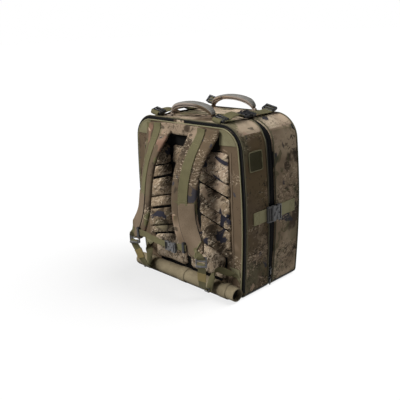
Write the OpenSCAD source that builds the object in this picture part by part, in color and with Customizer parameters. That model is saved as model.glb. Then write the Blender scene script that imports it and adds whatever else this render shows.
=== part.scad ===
// Tackle backpack: a rear bag with a harness and a front bag that zips and buckles onto it.
// Millimetres, +Z up, +X to the right, the harness faces -Y and the front bag lies towards +Y.
// The origin is on the ground, under the middle of the rear bag.

/* [Case] */
// Width of the case at its top and bottom
case_w = 456; // [420:1:500]
// Height of the case from the ground to its flat top
case_h = 530; // [500:1:570]
// Depth of the rear bag, which carries the harness
rear_d = 112; // [100:1:130]
// Depth of the front bag
front_d = 127; // [115:1:150]
// Gap between the two bags, where the joining zip lies
gap_d = 16; // [15:0.5:20]
// How far each side swells at mid height
belly = 14; // [8:0.5:18]
// Radius of the top corners
top_r = 70; // [55:1:80]
// Radius of the bottom corners
bottom_r = 20; // [16:1:26]
// Thickness of the padded wall
wall_t = 7; // [6:0.5:9]
// Thickness of the inner partition walls
panel_t = 6; // [4:0.5:8]
// Width of the square patch on the right side
patch_w = 60; // [40:1:70]
// Thickness of the square patch
patch_t = 2; // [1:0.5:4]
// Drop of the patch's middle below the top of the case
patch_drop = 107; // [100:1:140]
// Distance of the patch's middle from the back edge
patch_in = 52; // [45:1:70]

/* [Base] */
// Height of the moulded base cover
base_h = 9; // [8:0.5:12]
// Thickness of the base cover under the board
base_floor = 3; // [2:0.5:4]
// Thickness of the base board
board_t = 3; // [2:0.5:4]
// Width of the rim around the base board
base_rim = 6; // [4:0.5:10]

/* [Seams and zips] */
// Height that the piping stands above the wall
pipe_h = 3; // [2:0.5:4]
// Width of the piping
pipe_w = 5; // [4:0.5:7]
// Width of the zip tape beside its teeth
tape_w = 6; // [5:0.5:8]
// Thickness of the zip tape
tape_t = 1.5; // [1:0.1:2]
// Width and height of one row of zip teeth
teeth = 2; // [1.5:0.1:2.5]
// Room between the two rows of zip teeth
teeth_gap = 1.2; // [1:0.1:1.6]
// Depth of the joining zip below the side of the case
zip_sink = 5; // [4:0.5:7]
// Travel of the upper slider of the joining zip
slider_travel = 100; // [60:1:120]

/* [Bridging straps] */
// Width of the webbing on the two sides
side_web = 40; // [30:1:50]
// Width of the webbing over the top
top_web = 30; // [25:1:40]
// Thickness of all webbing
web_t = 2; // [1.5:0.1:3]
// Height of the side straps above the ground
side_strap_z = 250; // [200:1:280]
// Distance of the side strap's sewn end from the back edge
side_strap_start = 48; // [30:1:60]
// Distance of the side strap's other sewn end from the front edge
side_strap_end = 12; // [6:1:30]
// Distance of a top strap's ends from the edges
top_strap_end = 6; // [4:1:12]

/* [Buckles] */
// Plastic beside the webbing, on each side of a buckle
buckle_edge = 6; // [5:0.5:8]
// Thickness of the buckles
buckle_t = 10; // [9:0.5:13]
// Wall of the buckle sockets
buckle_wall = 2.2; // [1.8:0.1:2.8]
// Length of the plug behind the mouth
plug_l = 22; // [20:1:28]
// Length of the plug's prongs
prong_l = 28; // [24:1:30]
// Length of the socket
socket_l = 46; // [44:1:56]
// Length of the webbing slots in all hardware
slot_l = 5; // [4:0.5:6]
// Width of the bars in all hardware
bar_l = 3.5; // [3:0.5:4.5]

/* [Handles] */
// Distance of the rear handle from the back edge
rear_handle_in = 37; // [32:1:45]
// Distance of the front handle from the front edge
front_handle_in = 33; // [32:1:45]
// Rise of a handle above its pivots
handle_rise = 32; // [32:1:45]
// Width of the grip
grip_w = 32; // [26:1:34]
// Thickness of the grip
grip_t = 12; // [9:0.5:14]
// Radius of the rolled webbing at the pivots
pivot_r = 5; // [4:0.5:6]
// Length of the sewn anchor at each handle end
anchor_l = 26; // [20:1:30]

/* [Back panel] */
// Thickness of the stiff frame sheet
sheet_t = 3; // [2:0.5:4]
// Thickness of the panel's foam cover
cover_t = 4; // [3:0.5:6]
// Height of the back pads
pad_h = 14; // [10:1:16]
// Distance of the pads below the top of the case
pads_drop = 80; // [76:1:90]
// Distance of the outer pads from the sides of the case
pads_side = 40; // [36:1:60]
// Half width of the middle column of pads
middle_half_w = 50; // [44:1:52]
// Width of the channels between pads
channel = 12; // [8:1:14]
// Height of the open bands between the outer pads
band_h = 43; // [30:1:48]
// Height of the lumbar pads at the middle
lumbar_h = 116; // [100:1:122]
// Drop of the slanting channels for each millimetre outwards
channel_slope = 0.28; // [0.2:0.01:0.3]

/* [Harness] */
// Drop of the yoke's upper edge below the top of the case
yoke_top = 10; // [6:1:14]
// Drop of the yoke's lower edge below the top of the case
yoke_low = 46; // [40:1:60]
// Distance of a strap's root from the middle
strap_x = 98; // [96:1:106]
// Thickness of the padded straps
strap_t = 18; // [14:1:20]
// Width of the webbing on the face of the straps
facing_w = 32; // [25:1:36]
// Width of the lower webbing and the chest strap
thin_web = 25; // [20:1:28]
// Drop of the chest strap below the top of the case
chest_drop = 352; // [345:1:358]
// Distance of the chest strap from the back panel
chest_off = 125.6; // [125.6:0.1:134]
// Distance of the chest buckle's mouth from the middle
chest_mouth = 30; // [20:1:34]
// Half length of the chest strap
chest_half = 114; // [112:1:120]

/* [Lumbar roll] */
// Diameter of the lumbar roll
roll_d = 46; // [40:1:48]
// Thickness of the roll's sleeve
sleeve_t = 3; // [2:0.5:4]
// Height of the roll above the ground
roll_clear = 2; // [2:0.5:4]
// Depth of the open hem at each end of the roll
hem_l = 16; // [10:1:24]
// Width of the keeper bands round the roll
keeper_w = 30; // [20:1:40]

/* [Hidden] */
$fn = 48;

// Clearance between sewn or seated pieces, and running clearance of moving ones
seat = 0.2;
run = 0.6;
// A length that passes any cut right through
through = 1;

// Planes of the two bags from back to front
y_back = -rear_d / 2;
y_mid = rear_d / 2;
y_join = y_mid + gap_d;
y_front = y_join + front_d;
gap_c = y_mid + gap_d / 2;
gusset_z = base_h + seat;

// Insets of the two door zips from the edge of the case
zip_in = wall_t + 0.5;
teeth_out = zip_in - teeth_gap / 2;
teeth_in = zip_in + teeth_gap / 2;
cover_in = teeth_in + teeth + 1;
// The door zips start above the bottom corners, clear of the fold that the doors turn on
door_zip_z = bottom_r + 2;
// Height of the hem along the front lid's fold
lid_fold = 8;
// Distances off the back plane, from the zip tape to the seat of the pads
tape_off = seat + tape_t;
cover_off = tape_off + seat + cover_t;
pad_off = cover_off + seat;

// Straps and handles on the case
strap_in = 13;
anchor_gap = 15;
pivot_gap = 0.5;
top_strap_x = case_w / 2 - top_r - strap_in;
handle_x = top_strap_x - top_web / 2 - anchor_l - anchor_gap;
pivot_z = case_h + seat + web_t + pivot_r + pivot_gap;
rear_handle_y = y_back + rear_handle_in;
front_handle_y = y_front - front_handle_in;
mouth_in = 6;
mouth_y = gap_c - mouth_in;
hardware_z = seat + web_t + seat;
adjuster_t = 5;
ear_t = 3;

// Lumbar roll on the back panel
keeper_t = 1.6;
roll_r = roll_d / 2;
roll_off = cover_off + seat + keeper_t + seat + roll_r;
roll_z = roll_clear + keeper_t + seat + roll_r;

// Pads, lumbar pads and corner tabs on the back panel
pads_top = case_h - pads_drop;
pads_gap = 4;
pads_bottom = roll_z + roll_r + pads_gap;
middle_rows = 4;
outer_rows = 3;
pad_in_x = middle_half_w + channel;
pad_out_x = case_w / 2 - pads_side;
lumbar_top = pads_bottom + lumbar_h;
tab_t = 2.4;
tab_in = 10;
tab_gap = 46;
tab_x = case_w / 2 - tab_in;
tab_w = 42;
tab_z = roll_z + roll_r + tab_gap;

// Right shoulder strap from its root to its end: distance across from the root's middle,
// distance off the back panel, drop below the top of the case, width, and turn of its face
strap_route = [[0, pad_off + strap_t / 2 + 0.4, 14, 128, 0], [-1, pad_off + strap_t / 2 + 3, 32, 120, 0],
    [-5, 34, 60, 104, 6], [-9, 55, 90, 92, 14], [-12, 76, 130, 86, 20], [-12, 92, 180, 84, 20],
    [-10, 100, 230, 84, 20], [-3, 104, 280, 84, 20], [12, 106, 318, 84, 18], [32, 106, 350, 76, 12],
    [50, 105, 375, 44, 6]];
strap_steps = 2;
// Stretch of the route, in points, that the webbing facing covers
facing_first = 0;
facing_last = 6;
facing_seat = 0.7;
// Slope of the strap's end, in degrees, and the size of its ladder lock
strap_end_turn = 36;
lock_l = 30;
lock_t = 5;
lock_edge = 5;

// Sewn end of the lower webbing on its corner tab
tab_hold = [tab_x - tab_w + 18, y_back - pad_off - tab_t - seat - web_t, tab_z - 8];

// Joining zip: height of its sliders and the size of a slider and its pull
slider_lower_z = 26;
slider_upper_z = 62;
slider_l = 12;
slider_w = 10;
plate_t = 1.2;
pin_r = 1;
pull_l = 20;
pull_w = 5;
pull_t = 1.6;

// How far the side of the case stands out at a height
function bulge(z) = belly * sin(180 * z / case_h);
function side_x(z) = case_w / 2 + bulge(z);

// Outline of the case seen from the back, drawn in by an inset
function right_edge(inset) =
    let (half = case_w / 2 - inset, low = bottom_r, high = case_h - top_r,
        r_low = bottom_r - inset, r_high = top_r - inset)
    concat(
        [for (k = [0:4]) let (a = 90 * k / 4 - 90) [half - r_low + r_low * cos(a), low + r_low * sin(a)]],
        [for (k = [1:9]) [half, low + (high - low) * k / 10]],
        [for (k = [0:8]) let (a = 90 * k / 8) [half - r_high + r_high * cos(a), high + r_high * sin(a)]]);
function outline(inset) =
    let (edge = [for (p = right_edge(inset)) [p[0] + bulge(p[1]), p[1]]], last = len(edge) - 1)
    concat(edge, [for (k = [last:-1:0]) [-edge[k][0], edge[k][1]]]);

// A flat slab, and a hoop, of the case's outline between two depths and above a height
module standing(y0, y1) {
    translate([0, y1, 0]) rotate([90, 0, 0]) linear_extrude(y1 - y0) children();
}
module above(z) {
    intersection() {
        children();
        translate([-case_w, z]) square([2 * case_w, 2 * case_h]);
    }
}
module slab(inset, y0, y1, z = gusset_z) {
    standing(y0, y1) above(z) polygon(outline(inset));
}
module hoop(outer, inner, y0, y1, z = gusset_z) {
    standing(y0, y1) above(z) difference() {
        polygon(outline(outer));
        polygon(outline(inner));
    }
}

// Smooth curve through points, and the frame that travels along it
function unit(v) = v / norm(v);
function place(s) = [s[0], s[1], s[2]];
function curve(a, b, c, d, t) =
    (2 * b + (c - a) * t + (2 * a - 5 * b + 4 * c - d) * t * t + (3 * b - a - 3 * c + d) * t * t * t) / 2;
function smooth(p, steps) =
    let (last = len(p) - 1)
    concat([for (i = [0:last - 1], k = [0:steps - 1])
        curve(p[max(i - 1, 0)], p[i], p[i + 1], p[min(i + 2, last)], k / steps)], [p[last]]);
function along(p, i) = unit(place(p[min(i + 1, len(p) - 1)]) - place(p[max(i - 1, 0)]));
function across(t, turn) = let (w = [cos(turn), sin(turn), 0]) unit(w - t * (t * w));

// Rings of a ribbon: a section, in width and thickness, set square to the path at each point
function rings(p, sections, lift = 0) = [for (i = [0:len(p) - 1])
    let (t = along(p, i), w = across(t, p[i][4]), n = cross(t, w))
    [for (q = sections[i]) place(p[i]) + w * q[0] + n * (q[1] + lift)]];
function flat(w, t) = [[-w / 2, -t / 2], [w / 2, -t / 2], [w / 2, t / 2], [-w / 2, t / 2]];
function padded(w, t) = let (half = [[1, 0.3], [0.8, 0.8], [0, 1], [-0.8, 0.8], [-1, 0.3]])
    concat([for (q = half) [q[0] * w / 2, q[1] * t / 2]], [for (q = half) [-q[0] * w / 2, -q[1] * t / 2]]);

// Closed skin over a row of rings that all have the same number of points
module skin(rows) {
    n = len(rows[0]);
    m = len(rows);
    polyhedron([for (row = rows) each row], concat(
        [for (i = [0:m - 2], j = [0:n - 1]) [i * n + j, (i + 1) * n + j, (i + 1) * n + (j + 1) % n]],
        [for (i = [0:m - 2], j = [0:n - 1]) [i * n + j, (i + 1) * n + (j + 1) % n, i * n + (j + 1) % n]],
        [for (k = [1:n - 2]) [0, k, k + 1]],
        [for (k = [1:n - 2]) [(m - 1) * n, (m - 1) * n + k + 1, (m - 1) * n + k]]));
}

// Crowned cushion over four corners of the back panel, with its sides drawn in
cushion_sides = 24;
cushion_draw = 0.05;
cushion_rings = [[0.97, 0], [1, 0.35], [0.93, 0.72], [0.72, 0.93], [0.36, 1]];
function corners_mix(q, u, v) =
    let (low = q[0] * (1 - u) + q[1] * (1 + u), high = q[3] * (1 - u) + q[2] * (1 + u))
    (low * (1 - v) + high * (1 + v)) / 4;
function cushion_edge(a) =
    let (r = pow(pow(abs(cos(a)), 6) + pow(abs(sin(a)), 6), -1 / 6))
    r * (1 - cushion_draw * pow(cos(2 * a), 2)) * [cos(a), sin(a)];
module cushion(corners, off, rise) {
    skin([for (ring = cushion_rings)
        [for (k = [0:cushion_sides - 1])
            let (e = cushion_edge(360 * k / cushion_sides) * ring[0], p = corners_mix(corners, e[0], e[1]))
            [p[0], y_back - off - rise * ring[1], p[1]]]]);
}

// Both sides of the case
module both_sides() {
    children();
    mirror([1, 0, 0]) children();
}

// Base cover with a pocket for its board, between two depths
module base_cover(y0, y1) {
    pocket_x = case_w / 2 - bottom_r - base_rim;
    color("#1d1d1f") difference() {
        intersection() {
            standing(y0, y1) polygon(outline(0));
            translate([-case_w, y0, 0]) cube([2 * case_w, y1 - y0, base_h]);
        }
        translate([-pocket_x, y0 + base_rim, base_floor])
            cube([2 * pocket_x, y1 - y0 - 2 * base_rim, base_h]);
    }
}
module base_board(y0, y1) {
    half = case_w / 2 - bottom_r - base_rim - seat;
    color("#3a3a38") translate([-half, y0 + base_rim + seat, base_floor + seat])
        cube([2 * half, y1 - y0 - 2 * (base_rim + seat), board_t]);
}

// Tapes of a door zip, which lie on a plane and face one way, with their teeth along the edges that meet
module face_hoop(outer, inner, y, way, t) {
    hoop(outer, inner, min(y, y + way * t), max(y, y + way * t), door_zip_z);
}
module case_tape(y, way) {
    color("#17171a") {
        face_hoop(teeth_out - tape_w, teeth_out, y, way, tape_t);
        face_hoop(teeth_out - teeth, teeth_out, y, way, tape_t + teeth / 2);
    }
}
module door_tape(y, way) {
    color("#17171a") {
        face_hoop(teeth_in, teeth_in + tape_w, y, way, tape_t);
        face_hoop(teeth_in, teeth_in + teeth, y, way, tape_t + teeth / 2);
    }
}

// Zip tape standing in the gap, with its row of teeth along its free edge
module gap_tape(y0, y1, y_teeth) {
    color("#17171a") {
        hoop(zip_sink, zip_sink + tape_t, min(y0, y1), max(y0, y1));
        hoop(zip_sink - (teeth - tape_t / 2), zip_sink + tape_t / 2 + teeth, y_teeth, y_teeth + teeth);
    }
}

// Side release buckle along +Y, its mouth at the origin and its seat on z = 0
module plug(web) {
    half = web / 2 + buckle_edge;
    prong_w = 6;
    prong_t = buckle_t - 2 * (buckle_wall + run);
    prong_x = half - buckle_wall - run - prong_w;
    color("#333436") {
        difference() {
            translate([-half, -plug_l, 0]) cube([2 * half, plug_l - seat, buckle_t - 2]);
            for (k = [0:1])
                translate([-web / 2 - 1, -plug_l + bar_l + k * (slot_l + bar_l), -through])
                    cube([web + 2, slot_l, buckle_t + 2 * through]);
        }
        both_sides() translate([prong_x, -bar_l, buckle_wall + run]) cube([prong_w, prong_l + bar_l, prong_t]);
        translate([-prong_w, -bar_l, buckle_wall + run]) cube([2 * prong_w, prong_l - 2 * bar_l, prong_t]);
    }
}
module socket(web) {
    half = web / 2 + buckle_edge;
    cavity_l = prong_l + 2;
    window_l = 14;
    color("#333436") difference() {
        translate([-half, seat, 0]) cube([2 * half, socket_l - seat, buckle_t]);
        translate([-half + buckle_wall, -through, buckle_wall])
            cube([2 * (half - buckle_wall), cavity_l + through, buckle_t - 2 * buckle_wall]);
        for (side = [-1, 1])
            translate([side * half - through - buckle_wall, cavity_l - window_l - 4, buckle_wall])
                cube([2 * (through + buckle_wall), window_l, buckle_t - 2 * buckle_wall]);
        translate([-web / 2 - 1, socket_l - bar_l - slot_l, -through])
            cube([web + 2, slot_l, buckle_t + 2 * through]);
    }
}

// Places on the case that carry the bridging straps: right side, left side, right top and left top
strap_side_x = max([for (k = [-1:1]) side_x(side_strap_z + k * side_web / 2)]);
module on_sides() {
    both_sides() translate([strap_side_x + seat, 0, side_strap_z]) rotate([0, 90, 0]) children();
}
module on_top() {
    both_sides() translate([top_strap_x, 0, case_h + seat]) children();
}
module webbing(w, y0, y1) {
    color("#7d7a55") translate([-w / 2, y0, 0]) cube([w, y1 - y0, web_t]);
}
module adjuster(web, y0) {
    l = 2 * slot_l + 3 * bar_l;
    half = web / 2 + buckle_edge;
    color("#1c1c1e") difference() {
        translate([-half, y0, hardware_z]) cube([2 * half, l, adjuster_t]);
        for (k = [0:1])
            translate([-web / 2 - 1, y0 + bar_l + k * (slot_l + bar_l), hardware_z - through])
                cube([web + 2, slot_l, adjuster_t + 2 * through]);
    }
}

// Piping beside the gap, which is cut away where the bridging straps cross it
module strap_cut(web, y0, y1) {
    half = web / 2 + buckle_edge + seat;
    translate([-half, y0 - through, -seat - pipe_h]) cube([2 * half, y1 - y0 + 2 * through, 3 * pipe_h]);
}
module mid_piping(y0, y1) {
    difference() {
        hoop(-pipe_h, -seat, y0, y1);
        on_sides() strap_cut(side_web, y0, y1);
        on_top() strap_cut(top_web, y0, y1);
    }
}

// Carry handle over a line of pivots at a depth
function arch(a, w) = [handle_x * cos(a), 0, pivot_z + handle_rise * sin(a), w, 90];
function handle_width(a) = 2 * pivot_r + (grip_w - 2 * pivot_r) * sqrt(sin(a));
module handle_strip(first, last, count, lift, kind, t, y) {
    path = [for (k = [0:count]) let (a = first + (last - first) * k / count) arch(a, handle_width(a))];
    translate([0, y, 0]) skin(rings(path,
        [for (s = path) kind == "grip" ? padded(s[3], t) : flat(s[3], t)], lift));
}
module handle_webbing(y) {
    color("#5d5446") {
        handle_strip(6, 174, 16, 0, "web", web_t, y);
        both_sides() translate([handle_x, y, pivot_z]) rotate([0, 90, 0])
            cylinder(r = pivot_r, h = 2 * pivot_r, center = true);
    }
}
module handle_grip(y) {
    color("#6f6e69") handle_strip(28, 152, 14, -(web_t + grip_t) / 2 - seat, "grip", grip_t, y);
}
module handle_anchors(y) {
    ear_x = handle_x + pivot_r + 0.3;
    color("#5d5446") both_sides() {
        translate([ear_x, y - pivot_r, case_h + seat]) cube([anchor_l - pivot_r - 0.3, 2 * pivot_r, web_t]);
        translate([ear_x, y - pivot_r, case_h + seat]) cube([ear_t, 2 * pivot_r, pivot_z - case_h - seat]);
        translate([ear_x, y, pivot_z]) rotate([0, 90, 0]) cylinder(r = pivot_r, h = ear_t);
    }
}

// Rear bag
module rear_gusset() {
    color("#4c4336") hoop(0, wall_t, y_back, y_mid);
}
module rear_divider() {
    color("#2b2a28") slab(wall_t + seat, y_mid - panel_t, y_mid);
}
module rear_base_cover() {
    base_cover(y_back, y_mid);
}
module rear_base_board() {
    base_board(y_back, y_mid);
}
module rear_back_piping() {
    color("#6d6a4a") hoop(-pipe_h, -seat, y_back, y_back + pipe_w);
}
module rear_mid_piping() {
    color("#6d6a4a") mid_piping(y_mid - pipe_w, y_mid);
}
module back_zip_case_tape() {
    case_tape(y_back - seat, -1);
}
module mid_zip_rear_tape() {
    gap_tape(y_mid + seat, gap_c - teeth_gap / 2 - teeth, gap_c - teeth_gap / 2 - teeth);
}
module side_patch() {
    patch_z = case_h - patch_drop;
    slope = atan(belly * PI / case_h * cos(180 * patch_z / case_h));
    color("#6b6647") translate([side_x(patch_z) + 2 * seat, y_back + patch_in, patch_z]) rotate([0, slope, 0])
        translate([0, -patch_w / 2, -patch_w / 2]) cube([patch_t, patch_w, patch_w]);
}
module rear_bridge_straps() {
    on_sides() webbing(side_web, y_back + side_strap_start, mouth_y - seat);
    on_top() webbing(top_web, y_back + top_strap_end, mouth_y - seat);
}
module rear_plugs() {
    on_sides() translate([0, mouth_y, web_t + seat]) plug(side_web);
    on_top() translate([0, mouth_y, web_t + seat]) plug(top_web);
}
module rear_top_adjusters() {
    on_top() translate([0, 0, -seat]) adjuster(top_web, y_back + top_strap_end);
}
module rear_handle_anchors() {
    handle_anchors(rear_handle_y);
}
module rear_handle_webbing() {
    handle_webbing(rear_handle_y);
}
module rear_handle_grip() {
    handle_grip(rear_handle_y);
}

// Back panel, a door that opens on its lower edge
module back_frame_sheet() {
    color("#202020") slab(wall_t + 1, y_back, y_back + sheet_t, gusset_z + seat);
}
module back_panel_cover() {
    color("#3f382d") slab(cover_in, y_back - cover_off, y_back - tape_off - seat, gusset_z + seat);
}
module back_zip_door_tape() {
    door_tape(y_back - seat, -1);
}
function slant(z_in, x) = z_in - channel_slope * (x - pad_in_x);
module back_pads_right() {
    column_h = pads_top - lumbar_top - channel_slope * middle_half_w;
    pad_rise = (column_h - (outer_rows - 1) * band_h) / outer_rows;
    color("#54493b") for (k = [0:outer_rows - 1]) {
        upper = pads_top - k * (pad_rise + band_h);
        lower = upper - pad_rise;
        top_out = k == 0 ? upper : slant(upper, pad_out_x);
        cushion([[pad_in_x, lower], [pad_out_x, slant(lower, pad_out_x)],
            [pad_out_x, top_out], [pad_in_x, upper]], pad_off, pad_h);
    }
}
module back_pads_left() {
    mirror([1, 0, 0]) back_pads_right();
}
module back_pads_middle() {
    row_h = (pads_top - lumbar_top) / middle_rows;
    color("#54493b") for (k = [0:middle_rows - 1]) {
        upper = pads_top - k * row_h;
        lower = upper - row_h + channel;
        cushion([[-middle_half_w, lower], [middle_half_w, lower],
            [middle_half_w, upper], [-middle_half_w, upper]], pad_off, pad_h);
    }
}
module lumbar_pads() {
    inner = channel / 2;
    outer = tab_x - tab_w - channel;
    color("#54493b") both_sides() cushion([[inner, pads_bottom], [outer, pads_bottom],
        [outer, lumbar_top - channel_slope * (outer - inner)], [inner, lumbar_top]], pad_off, pad_h);
}

// Harness
function strap_path(steps) = smooth([for (s = strap_route)
    [strap_x + s[0], y_back - s[1], case_h - s[2], s[3], s[4]]], steps);
strap_line = strap_path(strap_steps);
strap_end = place(strap_line[len(strap_line) - 1]);
module shoulder_yoke() {
    half = strap_x - strap_route[0][3] / 2 - seat;
    low = case_h - yoke_low;
    high = case_h - yoke_top;
    color("#4a4134") cushion([[-half, low], [half, low], [half, high], [-half, high]], pad_off, pad_h);
}
module shoulder_strap_right() {
    color("#4a4134") skin(rings(strap_line, [for (s = strap_line) padded(s[3], strap_t)]));
}
module shoulder_strap_left() {
    mirror([1, 0, 0]) shoulder_strap_right();
}
module strap_facing_right() {
    run_line = [for (k = [facing_first * strap_steps:facing_last * strap_steps]) strap_line[k]];
    lift = strap_t / 2 + facing_seat + web_t / 2;
    color("#7d7a55") skin(rings(run_line, [for (s = run_line) flat(facing_w, web_t)], lift));
}
module strap_facing_left() {
    mirror([1, 0, 0]) strap_facing_right();
}
module ladder_lock_right() {
    half = thin_web / 2 + lock_edge;
    color("#4e4f52") translate(strap_end) rotate([0, -strap_end_turn, 0]) difference() {
        translate([-half, -lock_t / 2, -lock_l - 1]) cube([2 * half, lock_t, lock_l]);
        for (k = [0:1])
            translate([-thin_web / 2 - 0.5, -lock_t, -lock_l - 1 + bar_l + k * (slot_l + bar_l + 4)])
                cube([thin_web + 1, 2 * lock_t, slot_l + 2]);
    }
}
module ladder_lock_left() {
    mirror([1, 0, 0]) ladder_lock_right();
}
// The webbing leaves the ladder lock, hangs in a loop in front of the lumbar roll and climbs to its tab
lock_way = [sin(strap_end_turn), 0, -cos(strap_end_turn)];
lock_foot = strap_end + (lock_l + 3) * lock_way;
loop_low = [141, y_back - 74, roll_clear + 24];
lower_route = [lock_foot, lock_foot + 10 * lock_way, lock_foot + [6, 3, -26],
    loop_low + [8, -20, 36], loop_low + [0, -11, 11], loop_low, loop_low + [4, 8, 6],
    loop_low + [6, 14, 26], loop_low + [12, 22, 50], loop_low + [26, 32, 65],
    tab_hold + [-10, -20, 0], tab_hold + [3, -9, -7], tab_hold + [7, -2.5, -12], tab_hold + [9, 0, -18]];
module lower_webbing_right() {
    path = smooth([for (p = lower_route) [p[0], p[1], p[2], thin_web, 0]], 2);
    color("#7d7a55") skin(rings(path, [for (s = path) flat(thin_web, web_t)]));
}
module lower_webbing_left() {
    mirror([1, 0, 0]) lower_webbing_right();
}
module corner_tabs() {
    inner = tab_x - tab_w;
    color("#7d7a55") both_sides() standing(y_back - pad_off - tab_t, y_back - pad_off)
        polygon([[inner, tab_z], [tab_x, tab_z], [tab_x, tab_z - tab_w],
            [tab_x - tab_w / 2, tab_z - tab_w / 2]]);
}

// Chest strap: its webbing lies on a plane off the straps and passes through a loop on each strap
module on_chest() {
    translate([0, y_back - chest_off, case_h - chest_drop]) rotate([90, 0, 0]) rotate([0, 0, -90]) children();
}
loop_x = chest_half - 8;
module chest_loops() {
    l = 9;
    slot = 0.3;
    half = thin_web / 2 + 4;
    depth = web_t + 2 * slot + 2 * bar_l;
    y = y_back - chest_off - (web_t + depth) / 2;
    color("#1c1c1e") both_sides() translate([loop_x - l / 2, y, case_h - chest_drop - half])
        difference() {
            cube([l, depth, 2 * half]);
            translate([-through, bar_l, half - thin_web / 2 - slot])
                cube([l + 2 * through, depth - 2 * bar_l, thin_web + 2 * slot]);
        }
}
module chest_strap_right() {
    color("#7d7a55") on_chest() webbing(thin_web, chest_mouth + socket_l - 2 * bar_l - slot_l, chest_half);
}
module chest_socket() {
    on_chest() translate([0, chest_mouth, web_t + seat]) socket(thin_web);
}
module chest_strap_left() {
    color("#7d7a55") on_chest() webbing(thin_web, -chest_half, chest_mouth - seat);
}
module chest_plug() {
    on_chest() translate([0, chest_mouth, web_t + seat]) plug(thin_web);
}

// Lumbar roll: an open sleeve round a foam core, held to the back panel by keeper bands
module on_roll() {
    translate([0, y_back - roll_off, roll_z]) rotate([0, 90, 0]) children();
}
module lumbar_roll_sleeve() {
    color("#857a66") on_roll() difference() {
        cylinder(r = roll_r, h = case_w, center = true);
        cylinder(r = roll_r - sleeve_t, h = case_w + 2 * through, center = true);
    }
}
module lumbar_roll_core() {
    color("#26241f") on_roll() cylinder(r = roll_r - sleeve_t - seat, h = case_w - 2 * hem_l, center = true);
}
module roll_keepers() {
    reach = case_w / 2 - hem_l - keeper_w;
    color("#6b5f4e") for (x = [-reach, 0, reach])
        translate([x, 0, 0]) on_roll() difference() {
            cylinder(r = roll_r + seat + keeper_t, h = keeper_w, center = true);
            cylinder(r = roll_r + seat, h = keeper_w + 2 * through, center = true);
        }
}

// Front bag
module front_gusset() {
    color("#463d31") hoop(0, wall_t, y_join, y_front);
}
module front_rear_wall() {
    color("#2b2a28") slab(wall_t + seat, y_join, y_join + panel_t);
}
module front_base_cover() {
    base_cover(y_join, y_front);
}
module front_base_board() {
    base_board(y_join, y_front);
}
module front_mid_piping() {
    color("#6d6a4a") mid_piping(y_join, y_join + pipe_w);
}
module front_edge_piping() {
    color("#6d6a4a") hoop(-pipe_h, -seat, y_front - pipe_w, y_front);
}
module mid_zip_front_tape() {
    gap_tape(gap_c + teeth_gap / 2 + teeth, y_join - seat, gap_c + teeth_gap / 2);
}
module front_bridge_straps() {
    first = mouth_y + socket_l - 2 * bar_l - slot_l;
    on_sides() webbing(side_web, first, y_front - side_strap_end);
    on_top() webbing(top_web, first, y_front - top_strap_end);
}
module front_sockets() {
    on_sides() translate([0, mouth_y, web_t + seat]) socket(side_web);
    on_top() translate([0, mouth_y, web_t + seat]) socket(top_web);
}
module front_top_adjusters() {
    on_top() translate([0, 0, -seat]) adjuster(top_web, y_front - top_strap_end - 2 * slot_l - 3 * bar_l);
}
module front_handle_anchors() {
    handle_anchors(front_handle_y);
}
module front_handle_webbing() {
    handle_webbing(front_handle_y);
}
module front_handle_grip() {
    handle_grip(front_handle_y);
}

// Front lid, a door that opens on its lower edge
module front_lid() {
    half = case_w / 2 - bottom_r;
    color("#463d31") {
        slab(cover_in, y_front + tape_off + seat, y_front + cover_off, gusset_z + seat);
        translate([-half, y_front + seat, gusset_z + seat]) cube([2 * half, cover_off - seat, lid_fold]);
    }
}
module front_zip_case_tape() {
    case_tape(y_front + seat, 1);
}
module front_zip_lid_tape() {
    door_tape(y_front + seat, 1);
}

// Sliders of the joining zip on its right side: two plates and a post that runs between the teeth
slider_lean = atan((side_x(slider_upper_z + slider_travel) - side_x(slider_upper_z)) / slider_travel);
teeth_face = zip_sink - (teeth - tape_t / 2);
teeth_back = zip_sink + tape_t / 2 + teeth;
pin_out = plate_t + pin_r + 1.8;
module at_slider(z) {
    translate([side_x(z), gap_c, z]) rotate([0, slider_lean, 0]) children();
}
module slider(z) {
    outer = -teeth_face + run;
    inner = -teeth_back - run - plate_t;
    post_t = teeth_gap / 2;
    ear_w = 1.2;
    color("#101012") at_slider(z) {
        for (x = [outer, inner])
            translate([x, -slider_w / 2, -slider_l / 2]) cube([plate_t, slider_w, slider_l]);
        translate([inner, -post_t / 2, -slider_l / 2]) cube([outer - inner + plate_t, post_t, slider_l]);
        for (side = [-1, 1])
            translate([outer, side * (slider_w - ear_w) / 2 - ear_w / 2, -pin_r - 1])
                cube([pin_out + pin_r + 0.5, ear_w, 2 * pin_r + 2]);
        translate([outer + pin_out, 0, 0]) rotate([90, 0, 0])
            cylinder(r = pin_r, h = slider_w - ear_w, center = true, $fn = 24);
    }
}
module pull(z) {
    eye_r = pin_r + 1.4;
    color("#101012") at_slider(z) translate([-teeth_face + run + pin_out, 0, 0]) difference() {
        union() {
            rotate([90, 0, 0]) cylinder(r = eye_r, h = pull_w, center = true, $fn = 24);
            translate([-pull_t / 2, -pull_w / 2, -pull_l]) cube([pull_t, pull_w, pull_l]);
        }
        rotate([90, 0, 0]) cylinder(r = pin_r + 0.2, h = pull_w + 2 * through, center = true, $fn = 24);
    }
}
module mid_slider_upper() {
    slider(slider_upper_z);
}
module mid_pull_upper() {
    pull(slider_upper_z);
}
module mid_slider_lower() {
    slider(slider_lower_z);
}
module mid_pull_lower() {
    pull(slider_lower_z);
}

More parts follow.
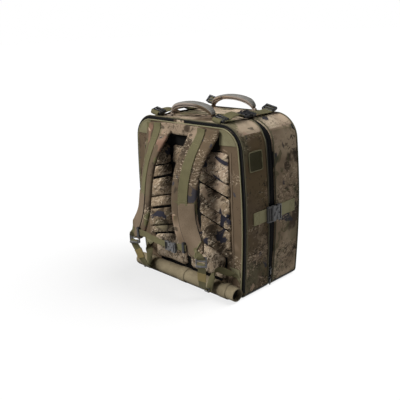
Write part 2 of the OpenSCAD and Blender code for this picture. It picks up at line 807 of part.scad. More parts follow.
rear_gusset();
rear_divider();
rear_base_cover();
rear_base_board();
rear_back_piping();
rear_mid_piping();
back_zip_case_tape();
mid_zip_rear_tape();
side_patch();
rear_bridge_straps();
rear_plugs();
rear_top_adjusters();
rear_handle_anchors();
rear_handle_webbing();
rear_handle_grip();
back_frame_sheet();
back_panel_cover();
back_zip_door_tape();
back_pads_left();
back_pads_right();
back_pads_middle();
lumbar_pads();
shoulder_yoke();
shoulder_strap_left();
shoulder_strap_right();
strap_facing_left();
strap_facing_right();
ladder_lock_left();
ladder_lock_right();
lower_webbing_left();
lower_webbing_right();
corner_tabs();
chest_loops();
chest_strap_right();
chest_socket();
chest_strap_left();
chest_plug();
lumbar_roll_sleeve();
lumbar_roll_core();
roll_keepers();
front_gusset();
front_rear_wall();
front_base_cover();
front_base_board();
front_mid_piping();
front_edge_piping();
mid_zip_front_tape();
front_bridge_straps();
front_sockets();
front_top_adjusters();
front_handle_anchors();
front_handle_webbing();
front_handle_grip();
front_lid();
front_zip_case_tape();
front_zip_lid_tape();
mid_slider_upper();
mid_pull_upper();
mid_slider_lower();
mid_pull_lower();
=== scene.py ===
"""Soft goods, hardware and studio of a tackle backpack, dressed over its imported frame.

Sizes are in millimetres until a mesh is made. Meshes are in metres, in the frame's own axes: +Z up,
+X to the right of the back panel, the harness towards -Y and the front bag towards +Y.
"""

import logging
from collections.abc import Callable, Iterator, Sequence
from contextlib import contextmanager
from dataclasses import dataclass, replace
from enum import Enum
from functools import cached_property
from math import atan, atan2, copysign, cos, degrees, exp, pi, radians, sin, sqrt

import bpy
import numpy as np
from mathutils import Matrix, Vector, noise


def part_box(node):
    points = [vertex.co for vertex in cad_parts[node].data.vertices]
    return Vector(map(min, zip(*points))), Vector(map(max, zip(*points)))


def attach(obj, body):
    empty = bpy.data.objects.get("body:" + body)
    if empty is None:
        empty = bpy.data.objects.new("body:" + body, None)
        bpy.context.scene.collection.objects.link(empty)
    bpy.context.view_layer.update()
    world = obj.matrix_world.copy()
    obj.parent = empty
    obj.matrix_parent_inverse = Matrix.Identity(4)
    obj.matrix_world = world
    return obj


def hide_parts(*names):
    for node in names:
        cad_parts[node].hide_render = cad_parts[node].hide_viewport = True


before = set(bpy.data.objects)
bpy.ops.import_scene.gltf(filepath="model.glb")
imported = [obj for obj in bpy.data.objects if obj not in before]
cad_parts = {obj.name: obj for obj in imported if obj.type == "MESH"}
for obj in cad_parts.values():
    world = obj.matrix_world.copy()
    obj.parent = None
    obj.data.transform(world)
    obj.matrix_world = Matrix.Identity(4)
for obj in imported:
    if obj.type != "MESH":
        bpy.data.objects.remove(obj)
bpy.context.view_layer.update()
LOG = logging.getLogger("tackle_backpack")
MM = 0.001
MIRROR = Matrix.Scale(-1, 4, (1, 0, 0))
WEB_T = 2.0
SIDE_STRAP_Z = 250.0

Piece = bpy.types.Object
Tree = bpy.types.NodeTree
Socket = bpy.types.NodeSocket
Triple = tuple[float, float, float]
Pair = tuple[float, float]
Corners = tuple[Pair, ...]
Ring = list[Vector]
Section = list[Pair]
StitchRow = tuple[Sequence[Vector], Vector]


class Body(Enum):
    """CAD bodies that the pieces ride on."""

    REAR = "rear_case"
    REAR_HANDLE = "rear_handle"
    PANEL = "back_panel"
    CHEST_END = "chest_plug_end"
    FRONT = "front_bag"
    FRONT_HANDLE = "front_handle"
    LID = "front_lid"
    SLIDER_UPPER = "slider_upper"
    PULL_UPPER = "pull_upper"
    SLIDER_LOWER = "slider_lower"
    PULL_LOWER = "pull_lower"


class Side(Enum):
    """Sides of the pack, as the sign of X."""

    RIGHT = 1
    LEFT = -1

    @property
    def label(self) -> str:
        """The side's name in piece names."""
        return self.name.lower()


def box_mm(node: str) -> tuple[Vector, Vector]:
    """Gives the lowest and the highest corner of a CAD node's box, in millimetres."""
    low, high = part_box(node)
    return low / MM, high / MM


def moved(x: float, y: float, z: float) -> Matrix:
    """Gives a move by some millimetres."""
    return Matrix.Translation(Vector((x, y, z)) * MM)


def turned(angle: float, axis: str) -> Matrix:
    """Gives a turn about an axis by some degrees."""
    return Matrix.Rotation(radians(angle), 4, axis)


def around(count: int) -> list[float]:
    """Gives evenly spaced angles of a whole turn."""
    return [2 * pi * k / count for k in range(count)]


def square_reach(angle: float, power: float) -> float:
    """Gives how far a square of half side 1 reaches at an angle; a high power makes its corners sharp."""
    return (abs(cos(angle)) ** power + abs(sin(angle)) ** power) ** (-1 / power)


# Finishes


def linear(code: str) -> tuple[float, float, float, float]:
    """Turns an sRGB colour, written as #rrggbb, into linear light."""
    parts = [int(code[k:k + 2], 16) / 255 for k in (1, 3, 5)]
    return (*[c / 12.92 if c <= 0.04045 else ((c + 0.055) / 1.055) ** 2.4 for c in parts], 1.0)


def empty_tree(owner: bpy.types.Material | bpy.types.World) -> Tree:
    """Gives a material or a world an empty node tree.

    Args:
        owner: The material or the world.

    Returns:
        The tree.
    """
    owner.use_nodes = True
    owner.node_tree.nodes.clear()
    return owner.node_tree


def add_node(tree: Tree, kind: str, inputs: dict | None = None, out: int | str = 0,
             **settings: object) -> Socket | None:
    """Adds a shader node with its settings, and links or sets its inputs.

    Args:
        tree: Tree that takes the node.
        kind: Type name of the node, without its prefix.
        inputs: Input name or number to a value, or to the output that feeds it.
        out: Name or number of the output that is wanted.
        **settings: Properties of the node.

    Returns:
        The output, or None where the node has none.
    """
    node = tree.nodes.new(f"ShaderNode{kind}")
    for key, value in settings.items():
        setattr(node, key, value)
    for key, value in (inputs or {}).items():
        if isinstance(value, Socket):
            tree.links.new(value, node.inputs[key])
        else:
            node.inputs[key].default_value = value
    return node.outputs[out] if node.outputs else None


@dataclass(frozen=True)
class Finish:
    """Start of every finish: one material, made once, and the record's slot that it belongs to."""

    name: str
    slot: str

    def material(self) -> bpy.types.Material:
        """Gives the material, and makes it when it is first asked for.

        Returns:
            The material.
        """
        made = bpy.data.materials.get(self.name)
        if made is None:
            made = bpy.data.materials.new(self.name)
            tree = empty_tree(made)
            surface = add_node(tree, "BsdfPrincipled", self.shade_inputs(tree))
            add_node(tree, "OutputMaterial", {"Surface": surface})
        return made

    def shade_inputs(self, tree: Tree) -> dict:
        """Draws the finish into a tree, and gives the inputs of the principled shader."""
        raise NotImplementedError


@dataclass(frozen=True)
class Blotch:
    """One colour of a printed pattern: where a noise of a size in millimetres passes a level."""

    colour: str
    size: float
    level: float
    blur: float
    shift: float
    stretch: Triple = (1.0, 1.0, 1.0)
    warp: float = 0.0
    detail: float = 2.0
    cover: float = 1.0
    cluster: float = 0.0
    cluster_level: float = 0.5
    turn: float = 0.0


# Soft grounds first, then crisp leaf shapes, then fine litter in clusters
PRINT_GROUNDS = (
    Blotch("#5b4d3c", 190, 0.50, 0.10, 1.7),
    Blotch("#96826f", 150, 0.57, 0.10, 4.1, cover=0.85),
    Blotch("#64604a", 120, 0.58, 0.07, 7.3, cover=0.6),
    Blotch("#463b2f", 85, 0.58, 0.06, 2.9, detail=4.0),
)
PRINT_SHAPES = (
    Blotch("#a38c77", 80, 0.655, 0.015, 9.2, warp=0.5, detail=3.0, cover=0.8),
    Blotch("#3a383c", 72, 0.655, 0.015, 5.6, warp=0.6, detail=3.0),
)
PRINT_TINTS = (
    Blotch("#8d6a5a", 75, 0.60, 0.03, 6.1, warp=0.6, detail=3.0, cover=0.45),
    Blotch("#575839", 62, 0.57, 0.05, 8.4, warp=0.9, detail=4.0, cover=0.7),
    Blotch("#332d24", 44, 0.61, 0.04, 1.9, warp=0.8, detail=4.0, cover=0.75),
)
PAD_SHAPES = (Blotch("#2b2a32", 100, 0.60, 0.015, 4.4, warp=0.7, detail=4.0),)
PRINT_LITTER = (
    Blotch("#b9a890", 10, 0.565, 0.04, 3.3, (1.0, 1.0, 2.1), 1.2, 3.0, 0.65, 130, 0.55),
    Blotch("#2a241b", 9, 0.57, 0.03, 8.8, (1.6, 1.0, 1.0), 1.2, 3.0, 0.7, 120, 0.54),
)
SIDE_LITTER = (
    Blotch("#80705b", 44, 0.54, 0.04, 3.9, (1.0, 1.0, 1.0), 0.8, 4.0, 0.6, 190, 0.45),
    Blotch("#4a4a31", 30, 0.54, 0.06, 6.4, (1.0, 1.0, 1.0), 1.0, 4.0, 0.65, 170, 0.45),
    Blotch("#ab9781", 13, 0.55, 0.04, 2.7, (1.0, 1.0, 1.7), 1.3, 4.0, 0.75, 150, 0.46, 0.5),
    Blotch("#17130f", 15, 0.56, 0.04, 5.1, (1.4, 1.0, 1.0), 1.3, 4.0, 0.7, 140, 0.46, 0.5),
)
PAD_LITTER = (
    Blotch("#352c22", 46, 0.50, 0.10, 8.8, warp=0.8, detail=4.0, cover=0.85),
    Blotch("#a4937d", 17, 0.52, 0.07, 3.3, (0.8, 1.0, 1.9), 1.0, 3.0, 0.8, 105, 0.42, 0.6),
    Blotch("#1b1610", 11, 0.57, 0.05, 2.2, (0.8, 1.0, 1.9), 1.0, 3.0, 0.75, 80, 0.45, 0.6),
    Blotch("#cfbfa8", 9, 0.57, 0.05, 1.3, (0.8, 1.0, 1.9), 1.0, 3.0, 0.75, 85, 0.46, 0.6),
)
LUMBAR_LITTER = (
    Blotch("#463b2f", 40, 0.50, 0.10, 8.8, warp=0.8, detail=4.0, cover=0.9),
    Blotch("#a8967f", 15, 0.49, 0.07, 3.3, (0.8, 1.0, 2.0), 1.0, 3.0, 0.85, turn=1.2),
    Blotch("#1b1610", 11, 0.55, 0.05, 2.2, (0.8, 1.0, 2.0), 1.0, 3.0, 0.8, turn=1.2),
    Blotch("#c9b8a1", 9, 0.55, 0.05, 1.3, (0.8, 1.0, 2.0), 1.0, 3.0, 0.8, turn=1.2),
)
CLUSTER_BLUR = 0.08
DYE_SIZE = 45
WEAR_SIZE = 22
SCUFF_SIZE = 7
CLOTH_GLOSS = {"Sheen Weight": 0.02, "Specular IOR Level": 0.08}
WEBBING_GLOSS = {"Sheen Weight": 0.03, "Specular IOR Level": 0.12}


@dataclass(frozen=True)
class CamoCloth(Finish):
    """Printed woven polyester: matt, with soft brown grounds, crisp leaf shapes and fine litter."""

    ground: str = "#7d6c58"
    layers: tuple[Blotch, ...] = PRINT_GROUNDS + PRINT_SHAPES + PRINT_LITTER
    offset: Triple = (0.0, 0.0, 0.0)
    cells: float = 0.0
    thread: float = 1.6
    roughness: float = 0.82

    def shade_inputs(self, tree: Tree) -> dict:
        """Lays the colours of the print over each other, and the weave's bump under them.

        Args:
            tree: Tree of the material.

        Returns:
            Inputs of the principled shader.
        """
        coords = add_node(tree, "TexCoord", out="Object")
        place = add_node(tree, "Mapping", {"Vector": coords, "Location": self.offset})
        colour: object = linear(self.ground)
        for layer in self.layers:
            inputs = {0: self.mask(tree, place, layer), 6: colour, 7: linear(layer.colour)}
            colour = add_node(tree, "Mix", inputs, 2, data_type="RGBA")
        if self.cells:
            cells = {"Vector": coords, "Scale": 1 / (self.cells * MM), "Randomness": 0.35}
            weave = add_node(tree, "TexVoronoi", cells, "Distance")
        else:
            # Threads of half a millimetre are too fine to show, so the weave is drawn three times as coarse
            scale = 1 / (self.thread * MM)
            weave = add_node(tree, "TexNoise", {"Vector": coords, "Scale": scale, "Detail": 1.0})
        bump = add_node(tree, "Bump", {"Height": weave, "Strength": 0.35, "Distance": 0.0006})
        return {"Base Color": colour, "Normal": bump, "Roughness": self.roughness, **CLOTH_GLOSS}

    @staticmethod
    def mask(tree: Tree, coords: Socket, layer: Blotch) -> Socket:
        """Gives where a colour of the print shows.

        Args:
            tree: Tree of the material.
            coords: Coordinates in metres.
            layer: The colour's size and level.

        Returns:
            Factor from 0 to the layer's cover.
        """
        shifted = {"Location": (layer.shift,) * 3, "Rotation": (0.0, layer.turn, 0.0)}
        place = add_node(tree, "Mapping", {"Vector": coords, **shifted})
        place = add_node(tree, "VectorMath", {0: place, 1: layer.stretch}, operation="MULTIPLY")
        grain = {"Scale": 1 / (layer.size * MM), "Detail": layer.detail, "Distortion": layer.warp}
        spots = add_node(tree, "TexNoise", {"Vector": place, **grain})
        ends = {"From Min": layer.level, "From Max": layer.level + layer.blur, "To Max": layer.cover}
        mask = add_node(tree, "MapRange", {"Value": spots, **ends})
        if layer.cluster:
            fields = add_node(tree, "TexNoise", {"Vector": place, "Scale": 1 / (layer.cluster * MM)})
            ends = {"From Min": layer.cluster_level, "From Max": layer.cluster_level + CLUSTER_BLUR}
            share = add_node(tree, "MapRange", {"Value": fields, **ends})
            mask = add_node(tree, "Math", {0: mask, 1: share}, operation="MULTIPLY")
        return mask


@dataclass(frozen=True)
class PlainCloth(Finish):
    """Plain woven polyester: matt, a little uneven in the dye, with a basket of fine threads."""

    colour: str = "#7b765a"
    shade: str = "#6a6549"
    thread: float = 1.6
    roughness: float = 0.85

    def shade_inputs(self, tree: Tree) -> dict:
        """Mixes two dyes by a broad noise, and adds the threads as bump.

        Args:
            tree: Tree of the material.

        Returns:
            Inputs of the principled shader.
        """
        coords = add_node(tree, "TexCoord", out="Object")
        dye = add_node(tree, "TexNoise", {"Vector": coords, "Scale": 1 / (DYE_SIZE * MM), "Detail": 3.0})
        fleck = add_node(tree, "TexNoise", {"Vector": coords, "Scale": 1 / (self.thread * MM)})
        share = add_node(tree, "Math", {0: dye, 1: fleck}, operation="MULTIPLY")
        tone = add_node(tree, "MapRange", {"Value": share, "From Min": 0.15, "From Max": 0.36})
        colours = {0: tone, 6: linear(self.shade), 7: linear(self.colour)}
        colour = add_node(tree, "Mix", colours, 2, data_type="RGBA")
        bump = add_node(tree, "Bump", {"Height": fleck, "Strength": 0.3, "Distance": 0.0006})
        return {"Base Color": colour, "Normal": bump, "Roughness": self.roughness, **CLOTH_GLOSS}


@dataclass(frozen=True)
class Webbing(Finish):
    """Woven nylon or ribbed mesh in strips: ribs across the length, and patches of wear."""

    colour: str = "#8a8562"
    shade: str = "#5f5b3e"
    rib: float = 2.4
    depth: float = 0.5
    roughness: float = 0.7

    def shade_inputs(self, tree: Tree) -> dict:
        """Draws the ribs on the strip's own map, which holds metres across and along it.

        Args:
            tree: Tree of the material.

        Returns:
            Inputs of the principled shader.
        """
        strip_map = add_node(tree, "TexCoord", out="UV")
        coords = add_node(tree, "TexCoord", out="Object")
        # A wave of scale s repeats every pi / 10 / s
        scale = pi / 10 / (self.rib * MM)
        ribs = add_node(tree, "TexWave", {"Vector": strip_map, "Distortion": 0.5, "Scale": scale}, "Fac",
                        wave_type="BANDS", bands_direction="Y")
        wear = add_node(tree, "TexNoise", {"Vector": coords, "Scale": 1 / (WEAR_SIZE * MM), "Detail": 4.0})
        ends = {"From Min": 0.35, "From Max": 0.65, "To Min": 0.2, "To Max": 0.75}
        tone = add_node(tree, "MapRange", {"Value": wear, **ends})
        lit = add_node(tree, "Math", {0: tone, 1: ribs, 2: 0.3}, operation="MULTIPLY_ADD")
        colours = {0: lit, 6: linear(self.shade), 7: linear(self.colour)}
        colour = add_node(tree, "Mix", colours, 2, data_type="RGBA", clamp_factor=True)
        bump = add_node(tree, "Bump", {"Height": ribs, "Strength": self.depth, "Distance": 0.0005})
        return {"Base Color": colour, "Normal": bump, "Roughness": self.roughness, **WEBBING_GLOSS}


@dataclass(frozen=True)
class Moulded(Finish):
    """Moulded acetal, rubber or painted casting: one colour, a fine spark grain and lighter scuffs."""

    colour: str = "#47474a"
    scuff: str = "#66666a"
    grain: float = 0.9
    roughness: float = 0.45

    def shade_inputs(self, tree: Tree) -> dict:
        """Adds the grain as bump and in the gloss, and scuffs in patches.

        Args:
            tree: Tree of the material.

        Returns:
            Inputs of the principled shader.
        """
        coords = add_node(tree, "TexCoord", out="Object")
        grit = add_node(tree, "TexNoise", {"Vector": coords, "Scale": 1 / (self.grain * MM), "Detail": 2.0})
        rubs = add_node(tree, "TexNoise", {"Vector": coords, "Scale": 1 / (SCUFF_SIZE * MM), "Detail": 5.0})
        where = add_node(tree, "MapRange", {"Value": rubs, "From Min": 0.5, "From Max": 0.75, "To Max": 0.7})
        colours = {0: where, 6: linear(self.colour), 7: linear(self.scuff)}
        colour = add_node(tree, "Mix", colours, 2, data_type="RGBA")
        ends = {"To Min": self.roughness - 0.08, "To Max": self.roughness + 0.12}
        gloss = add_node(tree, "MapRange", {"Value": grit, **ends})
        bump = add_node(tree, "Bump", {"Height": grit, "Strength": 0.15, "Distance": 0.0003})
        return {"Base Color": colour, "Roughness": gloss, "Normal": bump}


SIDE_LAYERS = PRINT_GROUNDS + PRINT_SHAPES + SIDE_LITTER + PRINT_LITTER
# The front bag's first ground is lighter than the rear's: painted light
LIT_FRONT_LAYERS = (replace(PRINT_GROUNDS[0], colour="#7f6e5a"),) + SIDE_LAYERS[1:]
PANEL_LAYERS = PRINT_GROUNDS[:2] + PRINT_GROUNDS[3:] + PRINT_SHAPES + PRINT_LITTER
RICH_LAYERS = PRINT_GROUNDS + PRINT_TINTS + PRINT_SHAPES + PRINT_LITTER
PAD_LAYERS = PRINT_GROUNDS + PAD_LITTER + PAD_SHAPES
LUMBAR_LAYERS = PRINT_GROUNDS[1:2] + LUMBAR_LITTER

# Printed polyester: matt and broken up in browns, each panel cut from another place of the print. The
# grounds also carry painted light and shade: darker on the rear bag's sides, which is painted shade, and
# lighter on the tops and on the front bag, which is painted light
CAMO = "camo_fabric"
SHADED_SIDE_CAMO = CamoCloth("printed_polyester_side", CAMO, "#5e4f39", SIDE_LAYERS, (0.91, 0.52, 0.37))
LIT_TOP_CAMO = CamoCloth("printed_polyester_top", CAMO, "#a2917c", RICH_LAYERS, (0.66, 0.41, 0.23))
LIT_FRONT_CAMO = CamoCloth("printed_polyester_front", CAMO, "#a08e77", LIT_FRONT_LAYERS, (1.37, 0.72, 0.58))
LIT_FRONT_TOP_CAMO = CamoCloth("printed_polyester_front_top", CAMO, "#b5a48e", RICH_LAYERS, (1.97, 0.62, 0.38))
PANEL_CAMO = CamoCloth("printed_polyester_panel", CAMO, "#584a3a", PANEL_LAYERS, (2.13, 1.31, 0.94))
HARNESS_CAMO = CamoCloth("printed_polyester_harness", CAMO, "#584b3c", RICH_LAYERS, (3.35, 1.57, 1.02))
# The yoke takes a lighter copy of the harness print: painted light on the lit yoke
LIT_YOKE_CAMO = CamoCloth("printed_polyester_yoke", CAMO, "#877663", RICH_LAYERS, (3.75, 1.17, 1.52))
CAMO_WEBBING = CamoCloth("printed_handle_webbing", "webbing", ground="#8c8076", offset=(5.5, 3.2, 2.2))
# Printed air mesh: the same browns over open cells, which make it rough and grainy
PAD_MESH = CamoCloth("printed_air_mesh", "pad_mesh", "#7f6e59", PAD_LAYERS, (4.21, 2.35, 1.73), 3.0)
# The lumbar pads take a lighter copy of the air mesh: painted light
LIT_LUMBAR_MESH = replace(PAD_MESH, name="printed_air_mesh_lumbar", ground="#a3917b", layers=LUMBAR_LAYERS,
                      offset=(5.11, 2.05, 1.33))
# Dyed woven polyester: even, matt and slightly flecked
OLIVE_CLOTH = PlainCloth("olive_woven_polyester", "plain_olive", "#767158", "#67624a")
ROLL_CLOTH = PlainCloth("brown_olive_woven_polyester", "roll_fabric", "#81765f", "#6e6450")
OVERLAY_CLOTH = PlainCloth("brown_strap_panel", "roll_fabric", "#726352", "#625444")
PATCH = PlainCloth("woven_patch", "patch", "#403d2b", "#35321f")
PATCH_RIM = PlainCloth("overlocked_patch_rim", "patch", "#827d62", "#6f6a50")
THREAD = PlainCloth("olive_sewing_thread", "piping", "#827d5e", "#6b6649", thread=0.8)
# Lining, spacer cloth and foam: nearly black. The spacer cloth is painted shade behind the pads and under
# the yoke, and the lining is painted shade in the gap between the bags, beside the zips and along the strap
# panels' edges, so that gaps and channels look deep
DARK_LINING_AND_SHADE = PlainCloth("dark_lining_cloth", "inner_lining", "#22211f", "#1a1918")
SHADE_BACKING = PlainCloth("dark_spacer_cloth", "inner_lining", "#0c0b09", "#080706")
FOAM = PlainCloth("closed_cell_foam", "foam", "#2a2721", "#1e1b17", thread=2.5)
# Woven nylon, cord and coil: ribbed across the strip, and lighter where it is worn
OLIVE_WEBBING = Webbing("olive_nylon_webbing", "webbing", "#666144", "#504b35")
# The side straps take a lighter copy of the olive webbing: painted light on the shaded sides
LIT_SIDE_WEBBING = Webbing("light_olive_nylon_webbing", "webbing", "#a09a78", "#878161")
BAND_WEBBING = Webbing("tan_elastic_band", "webbing", "#8f7f58", "#76683f")
PIPING = Webbing("olive_corded_piping", "piping", "#655f4a", "#4c4838", rib=3.0)
BINDING = Webbing("light_olive_binding", "piping", "#8d886a", "#6e694f", rib=3.0)
GRIP = Webbing("grey_ribbed_mesh", "grip_mesh", "#8a8782", "#55544f", rib=5.0, depth=0.9)
ZIP = Webbing("black_nylon_coil", "zip", "#0f0f11", "#070708", rib=2.0)
# Moulded, painted or extruded: half gloss on the buckles, dull on the base, with pale scuffs
BUCKLE = Moulded("dark_grey_acetal", "buckle_plastic", "#4c4b4b", "#757473")
BLACK_PLASTIC = Moulded("black_acetal", "buckle_plastic", "#18181a", "#303032")
RUBBER = Moulded("black_coated_base", "base_rubber", "#121213", "#202021", grain=2.0, roughness=0.7)
ZIP_METAL = Moulded("black_painted_casting", "zip_metal", "#131315", "#38383a", roughness=0.35)
BOARD = Moulded("extruded_board", "board", "#34332f", "#45443f", grain=1.5, roughness=0.6)


# Meshes


def take(piece: Piece) -> None:
    """Makes a piece the only one selected, and the active one.

    Args:
        piece: The piece.
    """
    bpy.ops.object.select_all(action="DESELECT")
    piece.select_set(True)
    bpy.context.view_layer.objects.active = piece


@contextmanager
def editing(piece: Piece) -> Iterator[None]:
    """Opens a piece in edit mode with all of it selected, and closes it afterwards.

    Args:
        piece: The piece.

    Returns:
        The context in which it is open.
    """
    take(piece)
    bpy.ops.object.mode_set(mode="EDIT")
    bpy.ops.mesh.select_all(action="SELECT")
    yield
    bpy.ops.object.mode_set(mode="OBJECT")


def modify(piece: Piece, kind: str, **settings: object) -> None:
    """Adds a modifier to a piece and applies it.

    Args:
        piece: The piece.
        kind: Type name of the modifier.
        **settings: Properties of the modifier.
    """
    take(piece)
    modifier = piece.modifiers.new(kind.title(), kind)
    for key, value in settings.items():
        setattr(modifier, key, value)
    bpy.ops.object.modifier_apply(modifier=modifier.name)


def rounded(piece: Piece, width: float, segments: int, angle: float = 30.0) -> None:
    """Rounds a piece's edges from an angle in degrees on, by a width in millimetres and some segments."""
    limit = radians(angle)
    modify(piece, "BEVEL", width=width * MM, segments=segments, limit_method="ANGLE", angle_limit=limit)


def remeshed(piece: Piece, voxel: float) -> None:
    """Melts a piece's shells into one mesh with faces of a size in millimetres.

    Args:
        piece: The piece.
        voxel: Size of its faces.
    """
    take(piece)
    piece.data.remesh_voxel_size = voxel * MM
    bpy.ops.object.voxel_remesh()


def added(name: str, maker: Callable, **settings: object) -> Piece:
    """Adds a primitive, with nothing else selected, and moves its place into its mesh.

    Args:
        name: Name of the piece.
        maker: Operator that adds it.
        **settings: Settings of the operator, in metres.

    Returns:
        The new piece.
    """
    bpy.ops.object.select_all(action="DESELECT")
    maker(**settings)
    bpy.ops.object.transform_apply(location=True, rotation=True, scale=True)
    piece = bpy.context.object
    piece.name = piece.data.name = name
    return piece


def block(name: str, size: Triple, place: Triple) -> Piece:
    """Adds a block of a size in millimetres, with its middle at a place."""
    at, scale = Vector(place) * MM, Vector(size) * MM
    return added(name, bpy.ops.mesh.primitive_cube_add, size=1.0, location=at, scale=scale)


def cut(piece: Piece, size: Triple, place: Triple, turn: float = 0.0, corners: int = 4) -> None:
    """Cuts a block or a prism out of a piece, with sizes in millimetres.

    Args:
        piece: The piece.
        size: Size of the cutter.
        place: Middle of the cutter.
        turn: Turn about Z in degrees.
        corners: Corners of the cutter seen from above; 4 is a block.
    """
    if corners == 4:
        tool = added("cutter", bpy.ops.mesh.primitive_cube_add, size=1.0)
    else:
        tool = added("cutter", bpy.ops.mesh.primitive_cylinder_add, vertices=corners, radius=0.5, depth=1.0)
    tool.location = Vector(place) * MM
    tool.scale = Vector(size) * MM
    tool.rotation_euler.z = radians(turn)
    bpy.context.view_layer.update()
    modify(piece, "BOOLEAN", operation="DIFFERENCE", object=tool, solver="EXACT")
    bpy.data.objects.remove(tool)


def loft(name: str, rings: Sequence[Ring], maps: Sequence[Section] | None = None, closed: bool = True,
         capped: bool = True) -> Piece:
    """Adds a grid and carries its rows onto rings of points.

    Args:
        name: Name of the piece.
        rings: Rows of points in millimetres, all of the same number.
        maps: Place of each point on the piece's own map, in millimetres.
        closed: True if each ring closes on itself.
        capped: True if the open ends are filled.

    Returns:
        The new piece.
    """
    count, last = len(rings[0]), len(rings) - 1
    columns = count if closed else count - 1
    maker = bpy.ops.mesh.primitive_grid_add
    piece = added(name, maker, x_subdivisions=columns, y_subdivisions=last, size=1.0)
    places = [(round((v.co.x + 0.5) * columns) % count, round((v.co.y + 0.5) * last))
              for v in piece.data.vertices]
    for vertex, (i, j) in zip(piece.data.vertices, places):
        vertex.co = rings[j][i] * MM
    if maps:
        sheet_map = piece.data.uv_layers.active.data
        for loop in piece.data.loops:
            i, j = places[loop.vertex_index]
            sheet_map[loop.index].uv = (maps[j][i][0] * MM, maps[j][i][1] * MM)
    with editing(piece):
        bpy.ops.mesh.remove_doubles(threshold=0.01 * MM)
        if capped:
            bpy.ops.mesh.fill_holes(sides=0)
        if closed:
            bpy.ops.mesh.normals_make_consistent(inside=False)
    return piece


def face_from(piece: Piece, inside: Vector) -> None:
    """Turns an open sheet's faces away from a point.

    Args:
        piece: The sheet.
        inside: Point behind it, in millimetres.
    """
    centre = inside * MM
    total = sum((p.center - centre).dot(p.normal) * p.area for p in piece.data.polygons)
    if total < 0:
        with editing(piece):
            bpy.ops.mesh.flip_normals()


def cloth_sheet(name: str, rows: Sequence[Ring], inside: Vector, thick: float, offset: float = 0.0,
                coats: Sequence[Finish] = ()) -> Piece:
    """Makes a cloth from open rows of points and gives it its thickness.

    Args:
        name: Name of the piece.
        rows: Rows of points in millimetres.
        inside: Point behind the cloth.
        thick: Its thickness.
        offset: Where the rows lie in it, from -1 for its outside to 1 for its inside.
        coats: Finishes of its outside and its inside, if they differ.

    Returns:
        The cloth.
    """
    piece = loft(name, rows, closed=False, capped=False)
    face_from(piece, inside)
    for coat in coats:
        piece.data.materials.append(coat.material())
    modify(piece, "SOLIDIFY", thickness=thick * MM, offset=offset, material_offset=int(len(coats) > 1))
    return piece


def joined(name: str, pieces: Sequence[Piece]) -> Piece:
    """Joins pieces into one.

    Args:
        name: Name of the result.
        pieces: The pieces, which are used up.

    Returns:
        The joined piece.
    """
    take(pieces[0])
    for piece in pieces:
        piece.select_set(True)
    if len(pieces) > 1:
        bpy.ops.object.join()
    pieces[0].name = pieces[0].data.name = name
    return pieces[0]


def copy_at(piece: Piece, name: str, place: Matrix) -> Piece:
    """Copies a piece with its own mesh, moved by a matrix in metres.

    Args:
        piece: The piece to copy.
        name: Name of the copy.
        place: Where it goes. A mirrored copy has its faces turned back.

    Returns:
        The copy.
    """
    twin = piece.copy()
    twin.data = piece.data.copy()
    twin.name = twin.data.name = name
    bpy.context.scene.collection.objects.link(twin)
    twin.data.transform(place)
    if place.determinant() < 0:
        with editing(twin):
            bpy.ops.mesh.flip_normals()
    return twin


def settle(piece: Piece, body: Body, finishes: Finish | Sequence[Finish], *nodes: str,
           fill: float | None = None, crease: float = 40.0) -> None:
    """Dresses a finished piece and puts it on its body.

    Args:
        piece: The piece, in place.
        body: Body that carries it.
        finishes: Its finish, or one for each of its material slots.
        *nodes: CAD nodes that it stands for.
        fill: Not used.
        crease: Angle in degrees from which an edge stays sharp.
    """
    coats = [finishes] if isinstance(finishes, Finish) else list(finishes)
    picks = [face.material_index for face in piece.data.polygons]
    piece.data.materials.clear()
    for coat in coats:
        piece.data.materials.append(coat.material())
    piece.data.polygons.foreach_set("material_index", picks)
    take(piece)
    bpy.ops.object.shade_smooth_by_angle(angle=radians(crease))
    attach(piece, body.value)
    if nodes:
        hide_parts(*nodes)
    LOG.info("%s on %s, %d faces", piece.name, body.value, len(piece.data.polygons))


def soften(node: str, name: str, body: Body, finish: Finish, edge: float, segments: int = 2,
           fill: float | None = None) -> None:
    """Copies a CAD node's mesh, rounds its edges as a mould or a hot knife leaves them, and settles it.

    Args:
        node: Name of the CAD node.
        name: Name of the copy.
        body: Body that carries it.
        finish: Its finish.
        edge: Width of the rounding in millimetres.
        segments: Faces across the rounding.
        fill: Passed on to settle, which does not use it.
    """
    piece = bpy.data.objects.new(name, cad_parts[node].data.copy())
    piece.data.name = name
    piece.data.materials.clear()
    bpy.context.scene.collection.objects.link(piece)
    with editing(piece):
        bpy.ops.mesh.remove_doubles(threshold=0.005 * MM)
        bpy.ops.mesh.dissolve_limited(angle_limit=radians(1.0))
    rounded(piece, edge, segments, 35)
    settle(piece, body, finish, node, fill=fill)


def dress_node(node: str, finish: Finish) -> None:
    """Gives a finish to a CAD node that stays as it is."""
    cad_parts[node].data.materials.clear()
    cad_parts[node].data.materials.append(finish.material())


